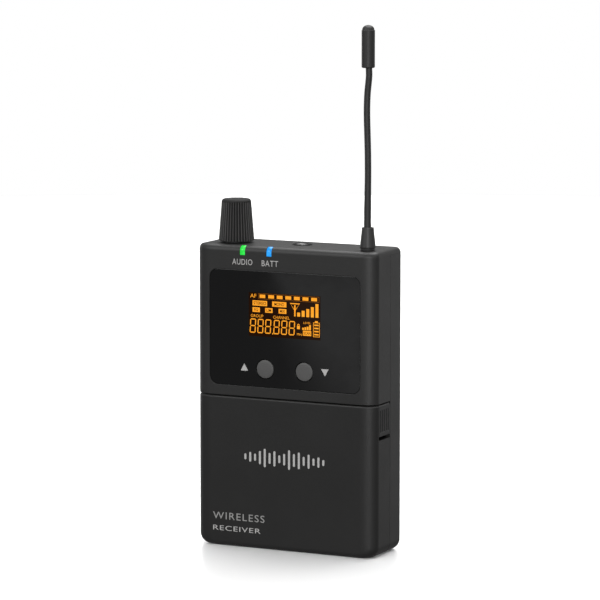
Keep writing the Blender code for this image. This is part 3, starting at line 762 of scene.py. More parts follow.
def latch_tab(name, side, body):
    """Ribbed side latch with the arm that reaches behind the seam."""
    tab = node_box(name)
    door_top = node_box("battery_door").z1
    y1 = node_box("battery_door").y1
    rings = []
    for z, inset in [(tab.z0, 0.0), (44.0, 0.0)] + quarter(0.2, door_top + 0.12, True, 4):
        rings.append(along("Z", z, plan(inset, FRONT + inset, y1, inset, SEAM_R)))
    obj = thing(name + "_tab", loft(rings))
    cut(obj, cavity(20.0, REACH, 20.0))

    def across(x0, x1, *rest):
        return box(min(side * x0, side * x1), max(side * x0, side * x1), *rest)

    outline = rounded(tab.y0, 20.0, tab.z0, 80.0, 0.25, 4)
    carve(obj, "INTERSECT", prism(outline, *sorted((side * 27.0, side * 33.0)), "X"))
    groove_r = 0.5
    groove = [(0.05, tab.z0 + 1.0), (groove_r, tab.z0 + 1.35), (groove_r, door_top - 1.6),
              (0.05, door_top - 1.2)]
    cut(obj, together(*[turned(groove, "Z", side * (HALF_W + 0.2), -5.9 + 1.45 * i, 24)
                        for i in range(5)]))
    cut(obj, bar(y1 + 0.1, door_top + 0.1, 0.65, *sorted((side * 30.8, side * 33.0)), "X", 24))
    join(obj, across(28.8, 30.1, -3.0, 0.9, 41.0, 46.5))
    join(obj, across(28.8, 29.7, 0.4, 3.2, 41.0, 46.5))
    join(obj, across(29.2, 30.3, 2.2, 3.1, 42.0, 45.5))
    dress(obj, "door", body, [name])


# Window, display, buttons, lights

def window():
    """Gloss window with a chamfered rim, holes for the buttons and the opening of the display."""
    win = node_box("display_window")
    up = node_box("up_button")
    rings = []
    chamfer = 0.14
    for y, inset in ((win.y0, chamfer), (win.y0 + 0.04, 0.05), (win.y0 + chamfer, 0.0), (win.y1, 0.0)):
        outline = rounded(win.x0 + inset, win.x1 - inset, win.z0 + inset, win.z1 - inset,
                          2.85 - inset, 12)
        rings.append(along("Y", y, outline))
    obj = thing("gloss_window", loft(rings))
    wide = BUTTON_HOLE_R + 0.05
    flare = [(wide, win.y0 - 0.1), (wide, win.y0), (BUTTON_HOLE_R, win.y0 + 0.05),
             (BUTTON_HOLE_R, win.y1 + 1)]
    for side in (-1, 1):
        cut(obj, turned(flare, "Y", side * abs(up.x), up.z, 64))
    cut(obj, box(*DISPLAY_X, win.y0 - 1, win.y1 + 1, *DISPLAY_Z))
    dress(obj, "window", "housing", ["display_window"])
    pane = thing("display_pane", box(*DISPLAY_X, win.y0, win.y1 - 0.1, *DISPLAY_Z))
    dress(pane, "lcd_dark", "housing", ())


def front_face(bm, points):
    """One flat polygon that faces the front."""
    face = bm.faces.new([bm.verts.new(point) for point in points])
    face.normal_update()
    if face.normal.y > 0:
        face.normal_flip()


class Glyphs:
    """Flat lit shapes on the display, in shares of its width and height from its top left corner."""

    def __init__(self, y):
        self.y = y
        self.bm = bmesh.new()

    def at(self, u, v):
        return (DISPLAY_X[0] + u * DISPLAY_W, self.y, DISPLAY_Z[1] - v * DISPLAY_H)

    def shape(self, points):
        front_face(self.bm, [self.at(u, v) for u, v in points])

    def rect(self, u0, u1, v0, v1):
        self.shape([(u0, v0), (u1, v0), (u1, v1), (u0, v1)])

    def frame(self, u0, u1, v0, v1, line):
        """Thin rectangular outline."""
        high = line * DISPLAY_W / DISPLAY_H
        self.rect(u0, u1, v0, v0 + high)
        self.rect(u0, u1, v1 - high, v1)
        self.rect(u0, u0 + line, v0 + high, v1 - high)
        self.rect(u1 - line, u1, v0 + high, v1 - high)


def seven_segments(glyphs, u, v0, v1, width, lean):
    """Six-sided bars of one figure eight, leaning to the right."""
    half = (v1 - v0) / 2
    tu = 0.0068
    tv = tu / (DISPLAY_H / DISPLAY_W)
    space = 0.18

    def slant(p, q):
        return (u + p + lean * (v1 - q), q)

    for level in (0, 1, 2):
        v = v0 + half * level + tv * (1 - level) * 0.9
        a, b = tu * (0.6 + space), width - tu * (0.6 + space)
        glyphs.shape([slant(a, v), slant(a + tu, v - tv), slant(b - tu, v - tv), slant(b, v),
                      slant(b - tu, v + tv), slant(a + tu, v + tv)])
    for p in (tu * 0.7, width - tu * 0.7):
        for level in (0, 1):
            a = v0 + half * level + tv * (0.9 + space)
            b = v0 + half * (level + 1) - tv * (0.9 + space)
            glyphs.shape([slant(p, a), slant(p + tu, a + tv), slant(p + tu, b - tv), slant(p, b),
                          slant(p - tu, b - tv), slant(p - tu, a + tv)])


def display_segments():
    """Everything that the display lights: meters, flags, figures, aerial, lock and battery."""
    face = node_box("display_window").y0
    bright = Glyphs(face - FILM)
    dim = Glyphs(face - FILM)
    meter = ((0.154, 0.232), (0.274, 0.355), (0.394, 0.474), (0.513, 0.594), (0.633, 0.713),
             (0.752, 0.833), (0.872, 0.952))
    for u0, u1 in meter:
        bright.rect(u0, u1, 0.042, 0.118)
    dim.frame(0.137, 0.982, 0.018, 0.143, 0.003)
    flags = ((0.054, 0.258, 0.182, 0.30), (0.329, 0.527, 0.182, 0.30), (0.054, 0.157, 0.34, 0.447),
             (0.231, 0.334, 0.34, 0.447), (0.419, 0.527, 0.34, 0.447), (0.758, 0.872, 0.80, 0.915))
    for flag in flags:
        bright.rect(*flag)
    aerial_icon(bright)
    for i, top in enumerate((0.398, 0.35, 0.305, 0.255, 0.178)):
        u = 0.677 + 0.0635 * i
        bright.rect(u, u + 0.041, top, 0.488)
    for i in range(6):
        extra = 0.012 if i > 2 else 0.0
        seven_segments(bright, 0.014 + 0.1065 * i + extra, 0.60, 0.925, 0.079, 0.032)
    bright.rect(0.329, 0.343, 0.905, 0.935)
    lock_icon(bright)
    for i, top in enumerate((0.735, 0.72, 0.705, 0.665)):
        u = 0.747 + 0.032 * i
        bright.rect(u, u + 0.025, top, 0.785)
    battery_icon(bright)
    plain("display_segments", bright.bm, "amber")
    plain("display_outline", dim.bm, "amber_dim")


def aerial_icon(glyphs):
    """Open triangle on a mast."""
    glyphs.shape([(0.576, 0.19), (0.716, 0.19), (0.706, 0.215), (0.586, 0.215)])
    glyphs.shape([(0.576, 0.19), (0.586, 0.215), (0.6455, 0.345), (0.6455, 0.375)])
    glyphs.shape([(0.716, 0.19), (0.6455, 0.375), (0.6455, 0.345), (0.706, 0.215)])
    glyphs.rect(0.636, 0.655, 0.235, 0.49)


def lock_icon(glyphs):
    """Small padlock."""
    glyphs.rect(0.675, 0.715, 0.70, 0.775)
    glyphs.rect(0.679, 0.687, 0.665, 0.70)
    glyphs.rect(0.703, 0.711, 0.665, 0.70)
    glyphs.rect(0.687, 0.703, 0.655, 0.675)


def battery_icon(glyphs):
    """Standing battery with four bars."""
    glyphs.frame(0.899, 0.99, 0.60, 0.93, 0.007)
    glyphs.rect(0.925, 0.964, 0.565, 0.60)
    for i in range(4):
        v = 0.645 + 0.071 * i
        glyphs.rect(0.914, 0.975, v, v + 0.032)


def lettering(name, text, width, height, x, z, y, finish, slot, stretch=0.0, bold=0.0):
    """Plain words as a flat mesh, fitted to a width and a height about a centre."""
    curve = bpy.data.curves.new(name, "FONT")
    curve.body = text
    curve.space_character = 1.0 + stretch
    curve.offset = bold
    curve.resolution_u = 4
    holder = bpy.data.objects.new(name, curve)
    bpy.context.scene.collection.objects.link(holder)
    graph = bpy.context.evaluated_depsgraph_get()
    graph.update()
    mesh = bpy.data.meshes.new_from_object(holder.evaluated_get(graph))
    bpy.data.objects.remove(holder)
    xs = [v.co.x for v in mesh.vertices]
    ys = [v.co.y for v in mesh.vertices]
    x0, x1, y0, y1 = min(xs), max(xs), min(ys), max(ys)
    bm = bmesh.new()
    bm.from_mesh(mesh)
    bpy.data.meshes.remove(mesh)
    for vert in bm.verts:
        across = (vert.co.x - (x0 + x1) / 2) / (x1 - x0) * width
        upward = (vert.co.y - (y0 + y1) / 2) / (y1 - y0) * height
        vert.co = (x + across, y, z + upward)
    plain(name, bm, finish, "door" if slot == "door_black" else "housing")


def display_words():
    """Names of the display's functions: lit on the dark ground, dark on the lit flags."""
    face = node_box("display_window").y0

    def word(text, u0, u1, v0, v1, lit_up=True):
        lettering("display_word_" + text.lower(), text, (u1 - u0) * DISPLAY_W, (v1 - v0) * DISPLAY_H,
                  DISPLAY_X[0] + (u0 + u1) / 2 * DISPLAY_W, DISPLAY_Z[1] - (v0 + v1) / 2 * DISPLAY_H,
                  face - FILM - (0.0 if lit_up else 0.01), "amber" if lit_up else "lcd_dark",
                  "amber_display", bold=0.0 if lit_up else 0.01)

    word("AF", 0.022, 0.108, 0.035, 0.122)
    word("GROUP", 0.03, 0.205, 0.50, 0.567)
    word("CHANNEL", 0.343, 0.572, 0.505, 0.573)
    word("MHz", 0.675, 0.75, 0.865, 0.918)
    word("STEREO", 0.068, 0.244, 0.205, 0.277, False)
    word("MONO", 0.36, 0.496, 0.205, 0.277, False)
    word("EQ", 0.078, 0.133, 0.362, 0.425, False)
    word("LIM", 0.25, 0.315, 0.362, 0.425, False)
    word("MIX", 0.438, 0.508, 0.362, 0.425, False)
    word("SCAN", 0.768, 0.862, 0.825, 0.89, False)
    word("LEVEL", 0.765, 0.868, 0.60, 0.645)


def buttons():
    """Matte push buttons, slightly domed, with a broad flange behind the wall."""
    for name, body in (("up_button", "up_key"), ("down_button", "down_key")):
        cap = node_box(name)
        profile = [(0.02, cap.y0), (1.2, cap.y0 + 0.01), (2.2, cap.y0 + 0.05), (2.6, cap.y0 + 0.09)]
        profile += [(2.95 - 0.25 + 0.25 * math.sin(a), cap.y0 + 0.37 - 0.25 * math.cos(a))
                    for a in (0.3, 0.6, 0.9, 1.25, math.pi / 2)]
        profile += [(2.95, -7.97), (3.7, -7.95), (3.7, cap.y1), (0.02, cap.y1)]
        obj = thing(name + "_cap", turned(profile, "Y", cap.x, cap.z, 64))
        dress(obj, "button", body, [name], 28)


def triangles():
    """Up and down marks beside the buttons."""
    face = node_box("display_window").y0 - FILM
    for name, side, flip in (("up_mark", -1, 1), ("down_mark", 1, -1)):
        x = side * 14.17
        z = 58.3
        half_w = 1.3
        half_h = 1.15
        bm = bmesh.new()
        points = [(x - half_w, face, z - flip * half_h), (x + half_w, face, z - flip * half_h),
                  (x, face, z + flip * half_h)]
        front_face(bm, points)
        plain(name, bm, "print")


def pipe_path(proud, spare):
    """(y, z) line of a light pipe's outer face, up the front and over the edge."""
    centre_y = FRONT + TOP_EDGE_R
    centre_z = TOP - TOP_EDGE_R
    r = TOP_EDGE_R + proud
    start = 94.1 - spare
    end_angle = math.degrees(math.acos((PIPE_END_Y + spare - centre_y) / r))
    return [(FRONT - proud, start)] + arc(centre_y, centre_z, r, 180, end_angle, 10)


def light_pipes():
    """Clear pipes that wrap the top front edge."""
    for node, name, finish, slot in (("audio_light_pipe", "green_pipe", "green", "green_lens"),
                                     ("battery_light_pipe", "blue_pipe", "blue", "blue_lens")):
        pipe = node_box(node)
        outer = pipe_path(0.04, 0.0)
        inner = [(PIPE_END_Y, 95.0), (-6.3, 95.0), (-6.3, 92.6), (-7.3, 92.6), (-7.3, 94.1)]
        rings = []
        for x, shrink in softened(0.83, 0.1):
            ring = []
            for y, z in outer:
                toward = Vector((FRONT + 2.5 - y, TOP - 2.5 - z)).normalized() * shrink
                ring.append((pipe.x + x, y + toward.x, z + toward.y))
            ring += [(pipe.x + x, y, z) for y, z in inner]
            rings.append(ring)
        obj = thing(name, loft(rings))
        dress(obj, finish, "housing", [node], 50)


# Printed words and shapes

def printed_marks():
    """Printed function names on the front, a row of rounded bars and two plain words on the door."""
    y = FRONT - FILM
    lettering("audio_word", "AUDIO", 7.1, 1.85, -14.72, 91.9, y, "print", "case_black", 0.12)
    lettering("battery_word", "BATT", 5.75, 1.85, -4.98, 91.85, y, "print", "case_black", 0.12)
    lettering("wireless_word", "WIRELESS", 18.4, 2.3, -16.2, 9.75, y, "print_soft", "door_black", 0.18)
    lettering("receiver_word", "RECEIVER", 17.0, 1.6, -16.9, 5.75, y, "print", "door_black", 0.1)
    heights = (1.2, 2.4, 1.6, 3.6, 5.2, 2.8, 4.2, 1.8, 3.0, 5.6, 3.4, 4.6, 2.2, 3.8, 1.6, 2.6, 1.2)
    pitch = 1.72
    half = 0.36
    bars = []
    for i, height in enumerate(heights):
        x = (i - (len(heights) - 1) / 2) * pitch
        z = 29.6
        outline = (arc(x, z - height / 2, half, 180, 360, 8) + arc(x, z + height / 2, half, 0, 180, 8))
        bars.append(prism(outline, y, y + FILM * 2, "Y"))
    obj = thing("sound_bars_print", together(*bars))
    dress(obj, "print", "door", ())


# Knob, socket, aerial

def volume_knob():
    """Tapered fluted knob with a smooth dished top."""
    knob = node_box("volume_knob")
    shaft = node_box("pot_shaft")
    flutes = 36
    per = 8
    base_r, top_r = 5.7, 4.65
    z0, z1 = knob.z0, knob.z1
    fade = z1 - 0.82

    def radius_at(z):
        return base_r + (top_r - base_r) * (z - z0) / (z1 - z0)

    def ring(z, radius, depth):
        points = []
        for i in range(flutes * per):
            angle = 2 * math.pi * i / (flutes * per)
            wave = 0.5 + 0.5 * math.cos(angle * flutes)
            r = radius - depth * wave ** 0.75
            points.append((shaft.x + r * math.cos(angle), shaft.y + r * math.sin(angle), z))
        return points

    depth = 0.42
    rings = [ring(z0, 4.62, 0.0), ring(z0, radius_at(z0) - 0.25, 0.1),
             ring(z0 + 0.12, radius_at(z0) - 0.05, depth), ring(z0 + 0.3, radius_at(z0 + 0.3), depth)]
    rings += [ring(z, radius_at(z), depth) for z in (101.0, 104.5, 108.0, fade - 0.5)]
    rings += [ring(fade - 0.2, radius_at(fade), depth * 0.7), ring(fade, radius_at(fade), depth * 0.25),
              ring(fade + 0.12, radius_at(fade), 0.0)]
    corner = 0.75
    for a in (10, 30, 50, 70, 88):
        angle = math.radians(a)
        rings.append(ring(z1 - 0.08 - corner + corner * math.sin(angle),
                          top_r - corner + corner * math.cos(angle) - 0.02, 0.0))
    rings += [ring(z1 - 0.03, 3.2, 0.0), ring(z1, 1.6, 0.0), ring(z1, 0.05, 0.0)]
    hollow = [ring(99.0, 4.5, 0.0), ring(100.5, 4.4, 0.0), ring(100.5, 0.05, 0.0)]
    obj = thing("fluted_knob", loft(hollow[::-1] + rings))
    # Colour attribute of painted light: 1 on the ridge crests for a painted highlight, 0 in the grooves
    # and on the top for painted shade; the smooth band under the top takes a fifth.
    crest = obj.data.color_attributes.new("crest", "FLOAT_COLOR", "POINT")
    for point, vert in zip(crest.data, obj.data.vertices):
        reach = math.hypot(vert.co.x / MM - shaft.x, vert.co.y / MM - CASE_Y - shaft.y)
        depth_here = (radius_at(vert.co.z / MM) - reach) / depth
        level = min(max(1.0 - depth_here * 1.25, 0.0), 1.0) ** 1.6
        if vert.co.z / MM > fade:
            level *= 0.2
        point.color = (level, level, level, 1.0)
    dress(obj, "knob", "volume", ["volume_knob"], 40)


def phones_socket():
    """Black ring with a bright sleeve inside, nearly flush with the top."""
    jack = node_box("phones_jack")
    sleeve = node_box("jack_sleeve")
    x, y = sleeve.x, sleeve.y
    top = jack.z1
    r = JACK_RING_R
    ring = turned([(2.2, 82.0), (2.2, top - 0.2), (2.3, top), (r - 0.2, top), (r - 0.04, top - 0.08),
                        (r, top - 0.25), (r, 94.8), (r, 82.0)], "Z", x, y, hollow=True)
    body = box(jack.x0, jack.x1, jack.y0, jack.y1, jack.z0, 94.6)
    obj = thing("socket_ring", ring)
    dress(obj, "socket", "housing", ["phones_jack"])
    block = soften(thing("socket_block", body), 0.3)
    cut(block, bar(x, y, 3.0, 81.5, 96, "Z"))
    dress(block, "inner", "housing", ())
    lip = sleeve.z1
    tube = turned([(1.8, sleeve.z0), (1.8, lip - 0.35), (1.86, lip - 0.15), (2.0, lip), (2.14, lip),
                        (2.18, lip - 0.1), (2.1, lip - 0.3), (2.1, sleeve.z0)], "Z", x, y, hollow=True)
    dress(thing("bright_sleeve", tube), "chrome", "housing", ["jack_sleeve"])


def aerial():
    """Rubber foot, the whip that bends out of it in one piece, and the end cap."""
    foot = node_box("antenna_boot")
    x, y = foot.x, foot.y
    top = foot.z1
    profile = [(1.7, foot.z0), (1.7, 97.1), (2.1, 97.12), (2.26, 97.2), (2.3, 97.45), (2.2, 97.6),
               (2.22, 97.75), (2.42, 97.9), (2.5, 98.1), (2.49, 98.4), (2.08, top - 2.3),
               (1.9, top - 0.2), (1.88, top - 0.06), (1.82, top), (1.2, top), (1.12, top - 0.25),
               (0.02, top - 0.25)]
    dress(thing("aerial_foot", turned(profile, "Z", x, y)), "foot", "housing", ["antenna_boot"])
    drift = [(103.0, -0.06), (105.0, -0.11), (110.0, -0.09), (116.0, -0.02), (121.0, 0.03),
             (127.0, -0.03), (133.0, -0.2), (138.0, -0.36), (142.0, -0.38), (146.0, -0.22),
             (149.0, 0.08), (151.6, 0.32), (154.2, 0.24), (157.0, 0.06), (164.0, 0.0)]
    path = smooth_path([(x + dx, y, z + 0.1) for z, dx in drift], 8)
    radius = node_box("antenna_whip")
    radius = (radius.x1 - radius.x0) / 2
    radii = [radius + 0.1 * min(max((118.0 - point[2]) / 8.0, 0.0), 1.0) for point in path]
    whip = dress(thing("aerial_whip", swept(path, radii, 28)), "rubber", None, ["antenna_whip"])
    settle(whip)
    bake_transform(whip)
    cap = node_box("antenna_cap")
    r = (cap.x1 - cap.x0) / 2
    z0, z1 = cap.z0, cap.z1
    profile = [(0.6, z0 + 0.25), (1.1, z0 + 0.12), (1.75, z0), (1.9, z0 + 0.06), (r, z0 + 0.3),
               (r, z1 - 1.75), (r - 0.03, z1 - 1.62), (r - 0.16, z1 - 1.55)]
    dome = r - 0.18
    profile += [(dome * math.cos(a), z1 - 1.5 + 1.5 * math.sin(a))
                for a in (0.15, 0.4, 0.65, 0.9, 1.15, 1.4, 1.55)]
    dress(thing("aerial_cap", turned(profile, "Z", cap.x, cap.y)), "rubber", "antenna",
          ["antenna_cap"])


# Battery bay

def battery_cell(node, side):
    """AA cell: crimped can, sleeve, copper band and plus terminal."""
    cell = node_box(node)
    plus = side * (max(abs(cell.x0), abs(cell.x1)) - 1.0)
    minus = cell.x0 if side > 0 else cell.x1
    r = 7.1
    y, z = cell.y, cell.z
    band_width = 14.0
    split = plus - side * band_width

    def body(points):
        return turned(points, "X", y, z, 64)

    sleeve = [(0.05, minus + side * 0.35), (5.6, minus + side * 0.35), (5.8, minus), (6.6, minus),
              (7.0, minus + side * 0.15), (r, minus + side * 0.5), (r, split)]
    sleeve.append((0.05, split))
    dress(thing(node + "_sleeve", body(sleeve)), "cell", "housing", [node])
    band = [(0.05, split + side * 0.01), (r, split + side * 0.01), (r, plus - side * 0.5),
            (7.0, plus - side * 0.15), (6.6, plus), (5.9, plus), (5.7, plus - side * 0.3),
            (0.05, plus - side * 0.3)]
    dress(thing(node + "_band", body(band)), "copper", "housing", ())
    nub = [(0.05, plus - side * 0.3), (3.0, plus - side * 0.3), (2.75, plus), (2.75, plus + side * 0.75),
           (2.55, plus + side * 0.97), (0.05, plus + side * 1.0)]
    dress(thing(node + "_terminal", body(nub)), "steel", "housing", ())


def contact_coil(node, side):
    """Conical spring of round wire."""
    spring = node_box(node)
    cell = node_box("battery_upper" if node.startswith("upper") else "battery_lower")
    wire = 0.35
    x0, x1 = sorted((spring.x0, spring.x1), key=abs, reverse=True)
    turns = 3.5
    steps = 150
    path = []
    for i in range(steps + 1):
        t = i / steps
        angle = 2 * math.pi * turns * t
        radius = 3.6 - 1.7 * t
        x = x0 - side * wire + (x1 - x0 + 2 * side * wire) * t
        path.append((x, cell.y + radius * math.cos(angle), cell.z + radius * math.sin(angle)))
    obj = thing(node + "_coil", swept(path, [wire] * len(path), 12))
    dress(obj, "spring", "housing", [node], 60)


def tray():
    """Tray that holds the cells, with softened edges and a rib between them."""
    t = node_box("battery_tray")
    obj = thing("cell_tray", box(t.x0, t.x1, t.y0, t.y1, t.z0, t.z1))
    cut(obj, box(t.x0 + 0.8, t.x1 - 0.8, t.y0 - 2, t.y1 - 0.6, t.z0 + 0.8, t.z1 - 0.8))
    join(obj, box(t.x0 + 0.4, t.x1 - 0.4, 5.2, 8.2, 19.9, 20.7))
    soften(obj, 0.15)
    dress(obj, "inner", "housing", ["battery_tray"])


def divider_webs():
    """Two webs that stiffen the wall above the cells and keep light out of the seam."""
    low = node_box("bay_divider").z0 + 0.05
    outline = [(-7.35, low), (-7.35, low - 9.2), (-5.3, low - 11.2), (8.6, low - 11.2), (8.6, low)]
    webs = [prism(outline, x - 0.4, x + 0.4, "X") for x in (-8.0, 8.0)]
    obj = soften(thing("divider_webs", together(*webs)), 0.12)
    dress(obj, "inner", "housing", ())


def contact_plates():
    """Sheet metal contacts with soft corners."""
    for node in ("link_plate", "positive_plate", "negative_plate"):
        p = node_box(node)
        outline = rounded(p.y0, p.y1, p.z0, p.z1, 1.0, 6)
        obj = thing(node + "_sheet", prism(outline, p.x0, p.x1, "X"))
        dress(soften(obj, 0.08), "steel", "housing", [node])


# Fasteners and clip

def cross_recess(x, z, y, size, depth):
    """Cutter for a cross recess that points along +Y."""
    arms = []
    for turn in (0, 90):
        rings = []
        for level, half in ((y - depth, size * 0.55), (y + 0.5, size * 1.2)):
            wide = size * 0.26
            flat = [(-half, -wide), (half, -wide), (half, wide), (-half, wide)]
            spin = math.radians(turn)
            rings.append([(x + u * math.cos(spin) - v * math.sin(spin), level,
                           z + u * math.sin(spin) + v * math.cos(spin)) for u, v in flat])
        arms.append(loft(rings))
    return arms


def screws():
    """Pan head screws with cross recesses at the back."""
    for i in (1, 2, 3, 4):
        screw_piece("case_screw_%d" % i, 8.55, 2.0, 0.95)
    for name in ("clip_screw_left", "clip_screw_right"):
        screw_piece(name, node_box(name).y1 - 1.1, 2.2, 0.95)


def screw_piece(node, seat, head_r, shank_r):
    """One screw from its seat to its domed head."""
    s = node_box(node)
    top = s.y1
    profile = [(0.02, s.y0), (shank_r - 0.25, s.y0), (shank_r, s.y0 + 0.3), (shank_r, seat),
               (head_r, seat), (head_r, seat + (top - seat) * 0.45)]
    for a in (0.25, 0.5, 0.75, 1.0, 1.25, 1.5):
        profile.append((head_r * math.cos(a) * 0.55 + head_r * 0.45 * (1 - a / 1.6),
                        seat + (top - seat) * (0.45 + 0.55 * math.sin(a))))
    profile.append((0.02, top))
    obj = thing(node + "_pan", turned(profile, "Y", s.x, s.z, 40))
    for arm in cross_recess(s.x, s.z, top, 1.0, 0.7):
        cut(obj, arm)
    dress(obj, "screw", "housing", [node])


def belt_clip():
    """Spring clip: one strip from the root over the bend and down the leaf, with holes for the screws.
    """
    root = node_box("clip_base")
    leaf = node_box("clip_leaf")
    half = root.x1
    thick = 0.9
    root_y = root.y0 + thick / 2
    leaf_y = 15.65
    bend_y = (root_y + leaf_y) / 2
    bend_r = (leaf_y - root_y) / 2
    bend_z = 86.0
    path = [(root_y, z) for z in (root.z0, 76.0, 78.0, 80.0, 82.0, 84.0)]
    path += arc(bend_y, bend_z, bend_r, 180, 0, 28)
    for z in (84.0, 80.0, 74.0, 66.0, 58.0, 50.0, 44.0):
        path.append((leaf_y, z))
    path += smooth_path([(leaf_y, 42.6), (15.45, 41.5), (14.2, 39.8), (12.95, 38.1), (12.72, 37.2),
                         (12.95, 36.3), (13.6, 34.9), (14.2, leaf.z0 + 0.2)], 5)
    obj = thing("spring_clip", strip(path, thick, half, 0.16))
    holes = [bar(x, node_box("clip_screw_left").z, 1.25, root_y - 1, root_y + 1, "Y")
             for x in (node_box("clip_screw_left").x, node_box("clip_screw_right").x)]
    cut(obj, together(*holes))
    dress(obj, "clip", None, ["clip_base", "clip_leaf"])
    settle(obj)
    (bend_y - bend_r * 0.6 + CASE_Y) * MM
    (bend_z + bend_r * 0.6) * MM
    (bend_y + bend_r * 0.8 + CASE_Y) * MM
    (bend_z + bend_r * 0.4) * MM
    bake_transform(obj)


# Inner parts kept from the frame

KEPT = {
    "inner": ("lcd_frame", "up_switch", "down_switch", "volume_pot", "bay_divider"),
    "chip": ("processor_chip", "audio_chip"),
    "steel": ("rf_shield", "crystal_can", "pot_shaft", "antenna_contact", "hinge_pin_left",
              "hinge_pin_right"),
    # The pot nut takes the dark screw finish as painted shade: under the knob it shows only as shadow.
    "screw": ("pot_nut",),
    "board": ("main_board",),
    "white": ("backlight_plate",),
    "ribbon": ("lcd_ribbon",),
    "lcd_dark": ("lcd_glass",),
    "green": ("audio_led",),
    "blue": ("battery_led",),
}


def dress_kept_nodes():
    """Finishes for the CAD nodes that stay as they are."""
    for finish, nodes in KEPT.items():
        for node in nodes:
            coat(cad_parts[node], finish)


# Studio

def look_from(azimuth, elevation):
    """Unit vectors of a view: towards the camera, to the right and up."""
    a = math.radians(azimuth)
    e = math.radians(elevation)
    back = Vector((math.sin(a) * math.cos(e), -math.cos(a) * math.cos(e), math.sin(e)))
    right = Vector((math.cos(a), math.sin(a), 0))
    return back, right, back.cross(right)


def camera():
    """Long lens, a little to the right of the pack and above it."""
    back, right, up = look_from(*VIEW)
    aim = Vector((0, CASE_Y, 0)) + right * AIM[0] + up * AIM[1]
    data = bpy.data.cameras.new("studio_camera")
    data.sensor_width = 36.0
    data.lens = 215.2
    data.clip_start = 0.01
    data.clip_end = 20.0
    obj = bpy.data.objects.new("studio_camera", data)
    bpy.context.scene.collection.objects.link(obj)
    turn = Matrix((right, up, back)).transposed().to_4x4()
    obj.matrix_world = Matrix.Translation((aim + back * LENS_AWAY) * MM) @ turn
    bpy.context.scene.camera = obj


def soft_light(name, place, target, size, watts):
    """Rectangular soft box."""
    data = bpy.data.lights.new(name, "AREA")
    data.shape = "RECTANGLE"
    data.size, data.size_y = size
    data.energy = watts
    obj = bpy.data.objects.new(name, data)
    bpy.context.scene.collection.objects.link(obj)
    obj.location = place
    aim = Vector(target) - Vector(place)
    obj.rotation_euler = aim.to_track_quat("-Z", "Y").to_euler()
    obj.visible_camera = False
    return obj


def sky():
    """White backdrop for the lens, dim room for everything that the pack reflects."""
    world = bpy.data.worlds.new("studio_world")
    world.use_nodes = True
    tree = world.node_tree
    backdrop = tree.nodes["Background"]
    backdrop.inputs["Color"].default_value = (1, 1, 1, 1)
    room = tree.nodes.new("ShaderNodeBackground")
    room.inputs["Color"].default_value = (1, 1, 1, 1)
    room.inputs["Strength"].default_value = ROOM_LEVEL
    path = tree.nodes.new("ShaderNodeLightPath")
    mix = tree.nodes.new("ShaderNodeMixShader")
    tree.links.new(path.outputs["Is Camera Ray"], mix.inputs[0])
    tree.links.new(room.outputs[0], mix.inputs[1])
    tree.links.new(backdrop.outputs[0], mix.inputs[2])
    tree.links.new(mix.outputs[0], tree.nodes["World Output"].inputs["Surface"])
    bpy.context.scene.world = world


def floor_plane():
    """Round table top of polished white board that is clear wherever the open door reaches below it."""
    paint = Paint("floor_white")
    paint.set(Base_Color=rgb(0.93, 0.93, 0.93), Roughness=0.3)
    under = paint.node("ShaderNodeAmbientOcclusion", {"inside": True, "samples": 12},
                       {"Distance": 0.016}, "AO")
    clear = paint.node("ShaderNodeBsdfTransparent")
    both = paint.node("ShaderNodeMixShader", None, {0: paint.ramp(under, 0.7, 0.9), 1: clear})
    paint.tree.links.new(paint.shader.outputs[0], both.socket.node.inputs[2])
    paint.tree.links.new(both.socket, paint.tree.nodes["Material Output"].inputs["Surface"])
    bm = bmesh.new()
    bm.faces.new([bm.verts.new((x, y, 0)) for x, y in circle(0, 0, FLOOR_R, 96)])
    mesh = bpy.data.meshes.new("floor")
    bm.to_mesh(mesh)
    bm.free()
    floor = bpy.data.objects.new("floor", mesh)
    bpy.context.scene.collection.objects.link(floor)
    floor.data.materials.append(paint.material)
    floor.visible_diffuse = False
    floor.visible_glossy = False
    return floor


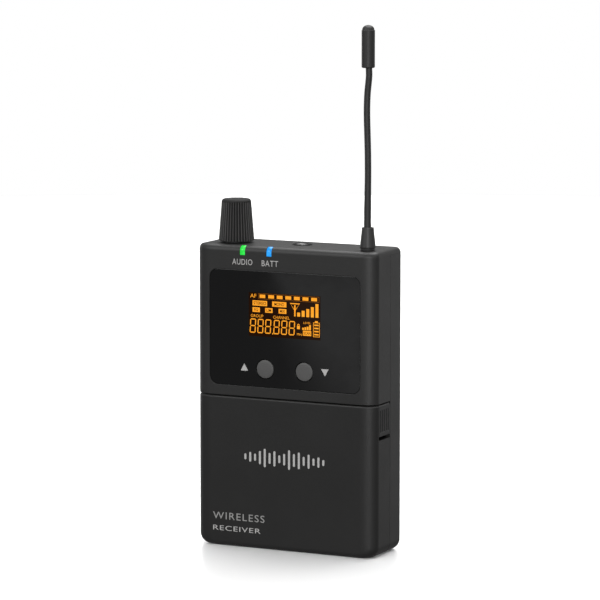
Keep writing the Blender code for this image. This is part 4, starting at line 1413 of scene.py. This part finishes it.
def window_card():
    """Dim soft card that shows in the window as a glow, sharp-edged at the top and soft below."""
    mirror_y = node_box("display_window").y0
    back, right, up = look_from(*VIEW)
    lens = right * AIM[0] + up * AIM[1] + back * LENS_AWAY
    lens.y = 2 * mirror_y - lens.y
    columns, rows = 60, 30
    left, wide = -8.0, 40.0
    low, high = 44.0, 92.0
    reach = 1.6
    bm = bmesh.new()
    levels = []
    grid = []
    for k in range(rows + 1):
        z = low + (high - low) * k / rows
        down = max(0.0, node_box("display_window").z1 - z)
        start = min(-4.5 + 0.33 * down, -1.5)
        blur = 0.8 + 26.0 * (down / 31.0) ** 1.5
        row = []
        for i in range(columns + 1):
            x = left + wide * (i / columns) ** 1.5
            t = min(max((x - start) / blur, 0.0), 1.0)
            levels.append(ROOM_LEVEL + CARD_LEVEL * t * t * (3 - 2 * t))
            row.append(bm.verts.new(lens + (Vector((x, mirror_y, z)) - lens) * reach))
        grid.append(row)
    for under, over in zip(grid, grid[1:]):
        for i in range(columns):
            bm.faces.new((under[i], under[i + 1], over[i + 1], over[i]))
    card = thing("glow_card", bm)
    fade = card.data.color_attributes.new("fade", "FLOAT_COLOR", "POINT")
    for point, level in zip(fade.data, levels):
        point.color = (level, level, level, 1.0)
    paint = Paint("glow_card_light")
    paint.set(Base_Color=rgb(0, 0, 0), Emission_Strength=1.0, Specular_IOR_Level=0.0,
              Emission_Color=paint.node("ShaderNodeVertexColor", {"layer_name": "fade"}, None, "Color"))
    card.data.materials.append(paint.material)
    card.visible_camera = False
    card.visible_diffuse = False
    card.visible_shadow = False


# Soft boxes: name, place, what they point at, width and height in metres, watts
LIGHTS = (
    ("top_box", (0.0, 0.25, 0.9), (0, 0, 0.08), (0.9, 0.9), 12),
    ("strip_box", (0.57, -1.17, 0.25), (0, 0, 0.1), (0.22, 0.9), 7),
    ("side_box", (0.7, 1.25, 0.1), (0, 0, 0.06), (0.8, 0.8), 0.9),
    ("key_box", (-0.7, -1.3, 0.8), (0, 0, 0.06), (0.7, 0.7), 7.2),
    ("right_box", (1.3, -0.5, 0.6), (0, 0, 0.06), (0.6, 0.9), 1.8),
    ("back_box", (-1.4, 0.7, 0.12), (0, 0, 0.06), (0.8, 0.8), 3),
)


def studio():
    """White floor, dim room, soft boxes and two lights that only the floor takes."""
    sky()
    floor = floor_plane()
    window_card()
    for box_light in LIGHTS:
        soft_light(*box_light)
    glow = soft_light("floor_glow", (-0.7, 1.4, 0.6), (0, 0, 0.1), (3.0, 1.6), 30)
    fill = soft_light("floor_fill", (0.0, 0.0, 2.0), (0, 0, 0), (4.0, 4.0), 6)
    only_floor = bpy.data.collections.new("floor_only")
    only_floor.objects.link(floor)
    glow.light_linking.receiver_collection = only_floor
    fill.light_linking.receiver_collection = only_floor
    scene = bpy.context.scene
    scene.view_settings.view_transform = "Standard"
    scene.view_settings.look = "None"


def main():
    """Build the looks."""
    front_cover()
    rear_cover()
    battery_door()
    latch_tab("latch_left", -1, "latch_l")
    latch_tab("latch_right", 1, "latch_r")
    window()
    display_segments()
    display_words()
    buttons()
    triangles()
    light_pipes()
    printed_marks()
    volume_knob()
    phones_socket()
    aerial()
    battery_cell("battery_upper", 1)
    battery_cell("battery_lower", -1)
    contact_coil("upper_spring", -1)
    contact_coil("lower_spring", 1)
    tray()
    divider_webs()
    contact_plates()
    screws()
    belt_clip()
    dress_kept_nodes()
    camera()
    studio()


main()
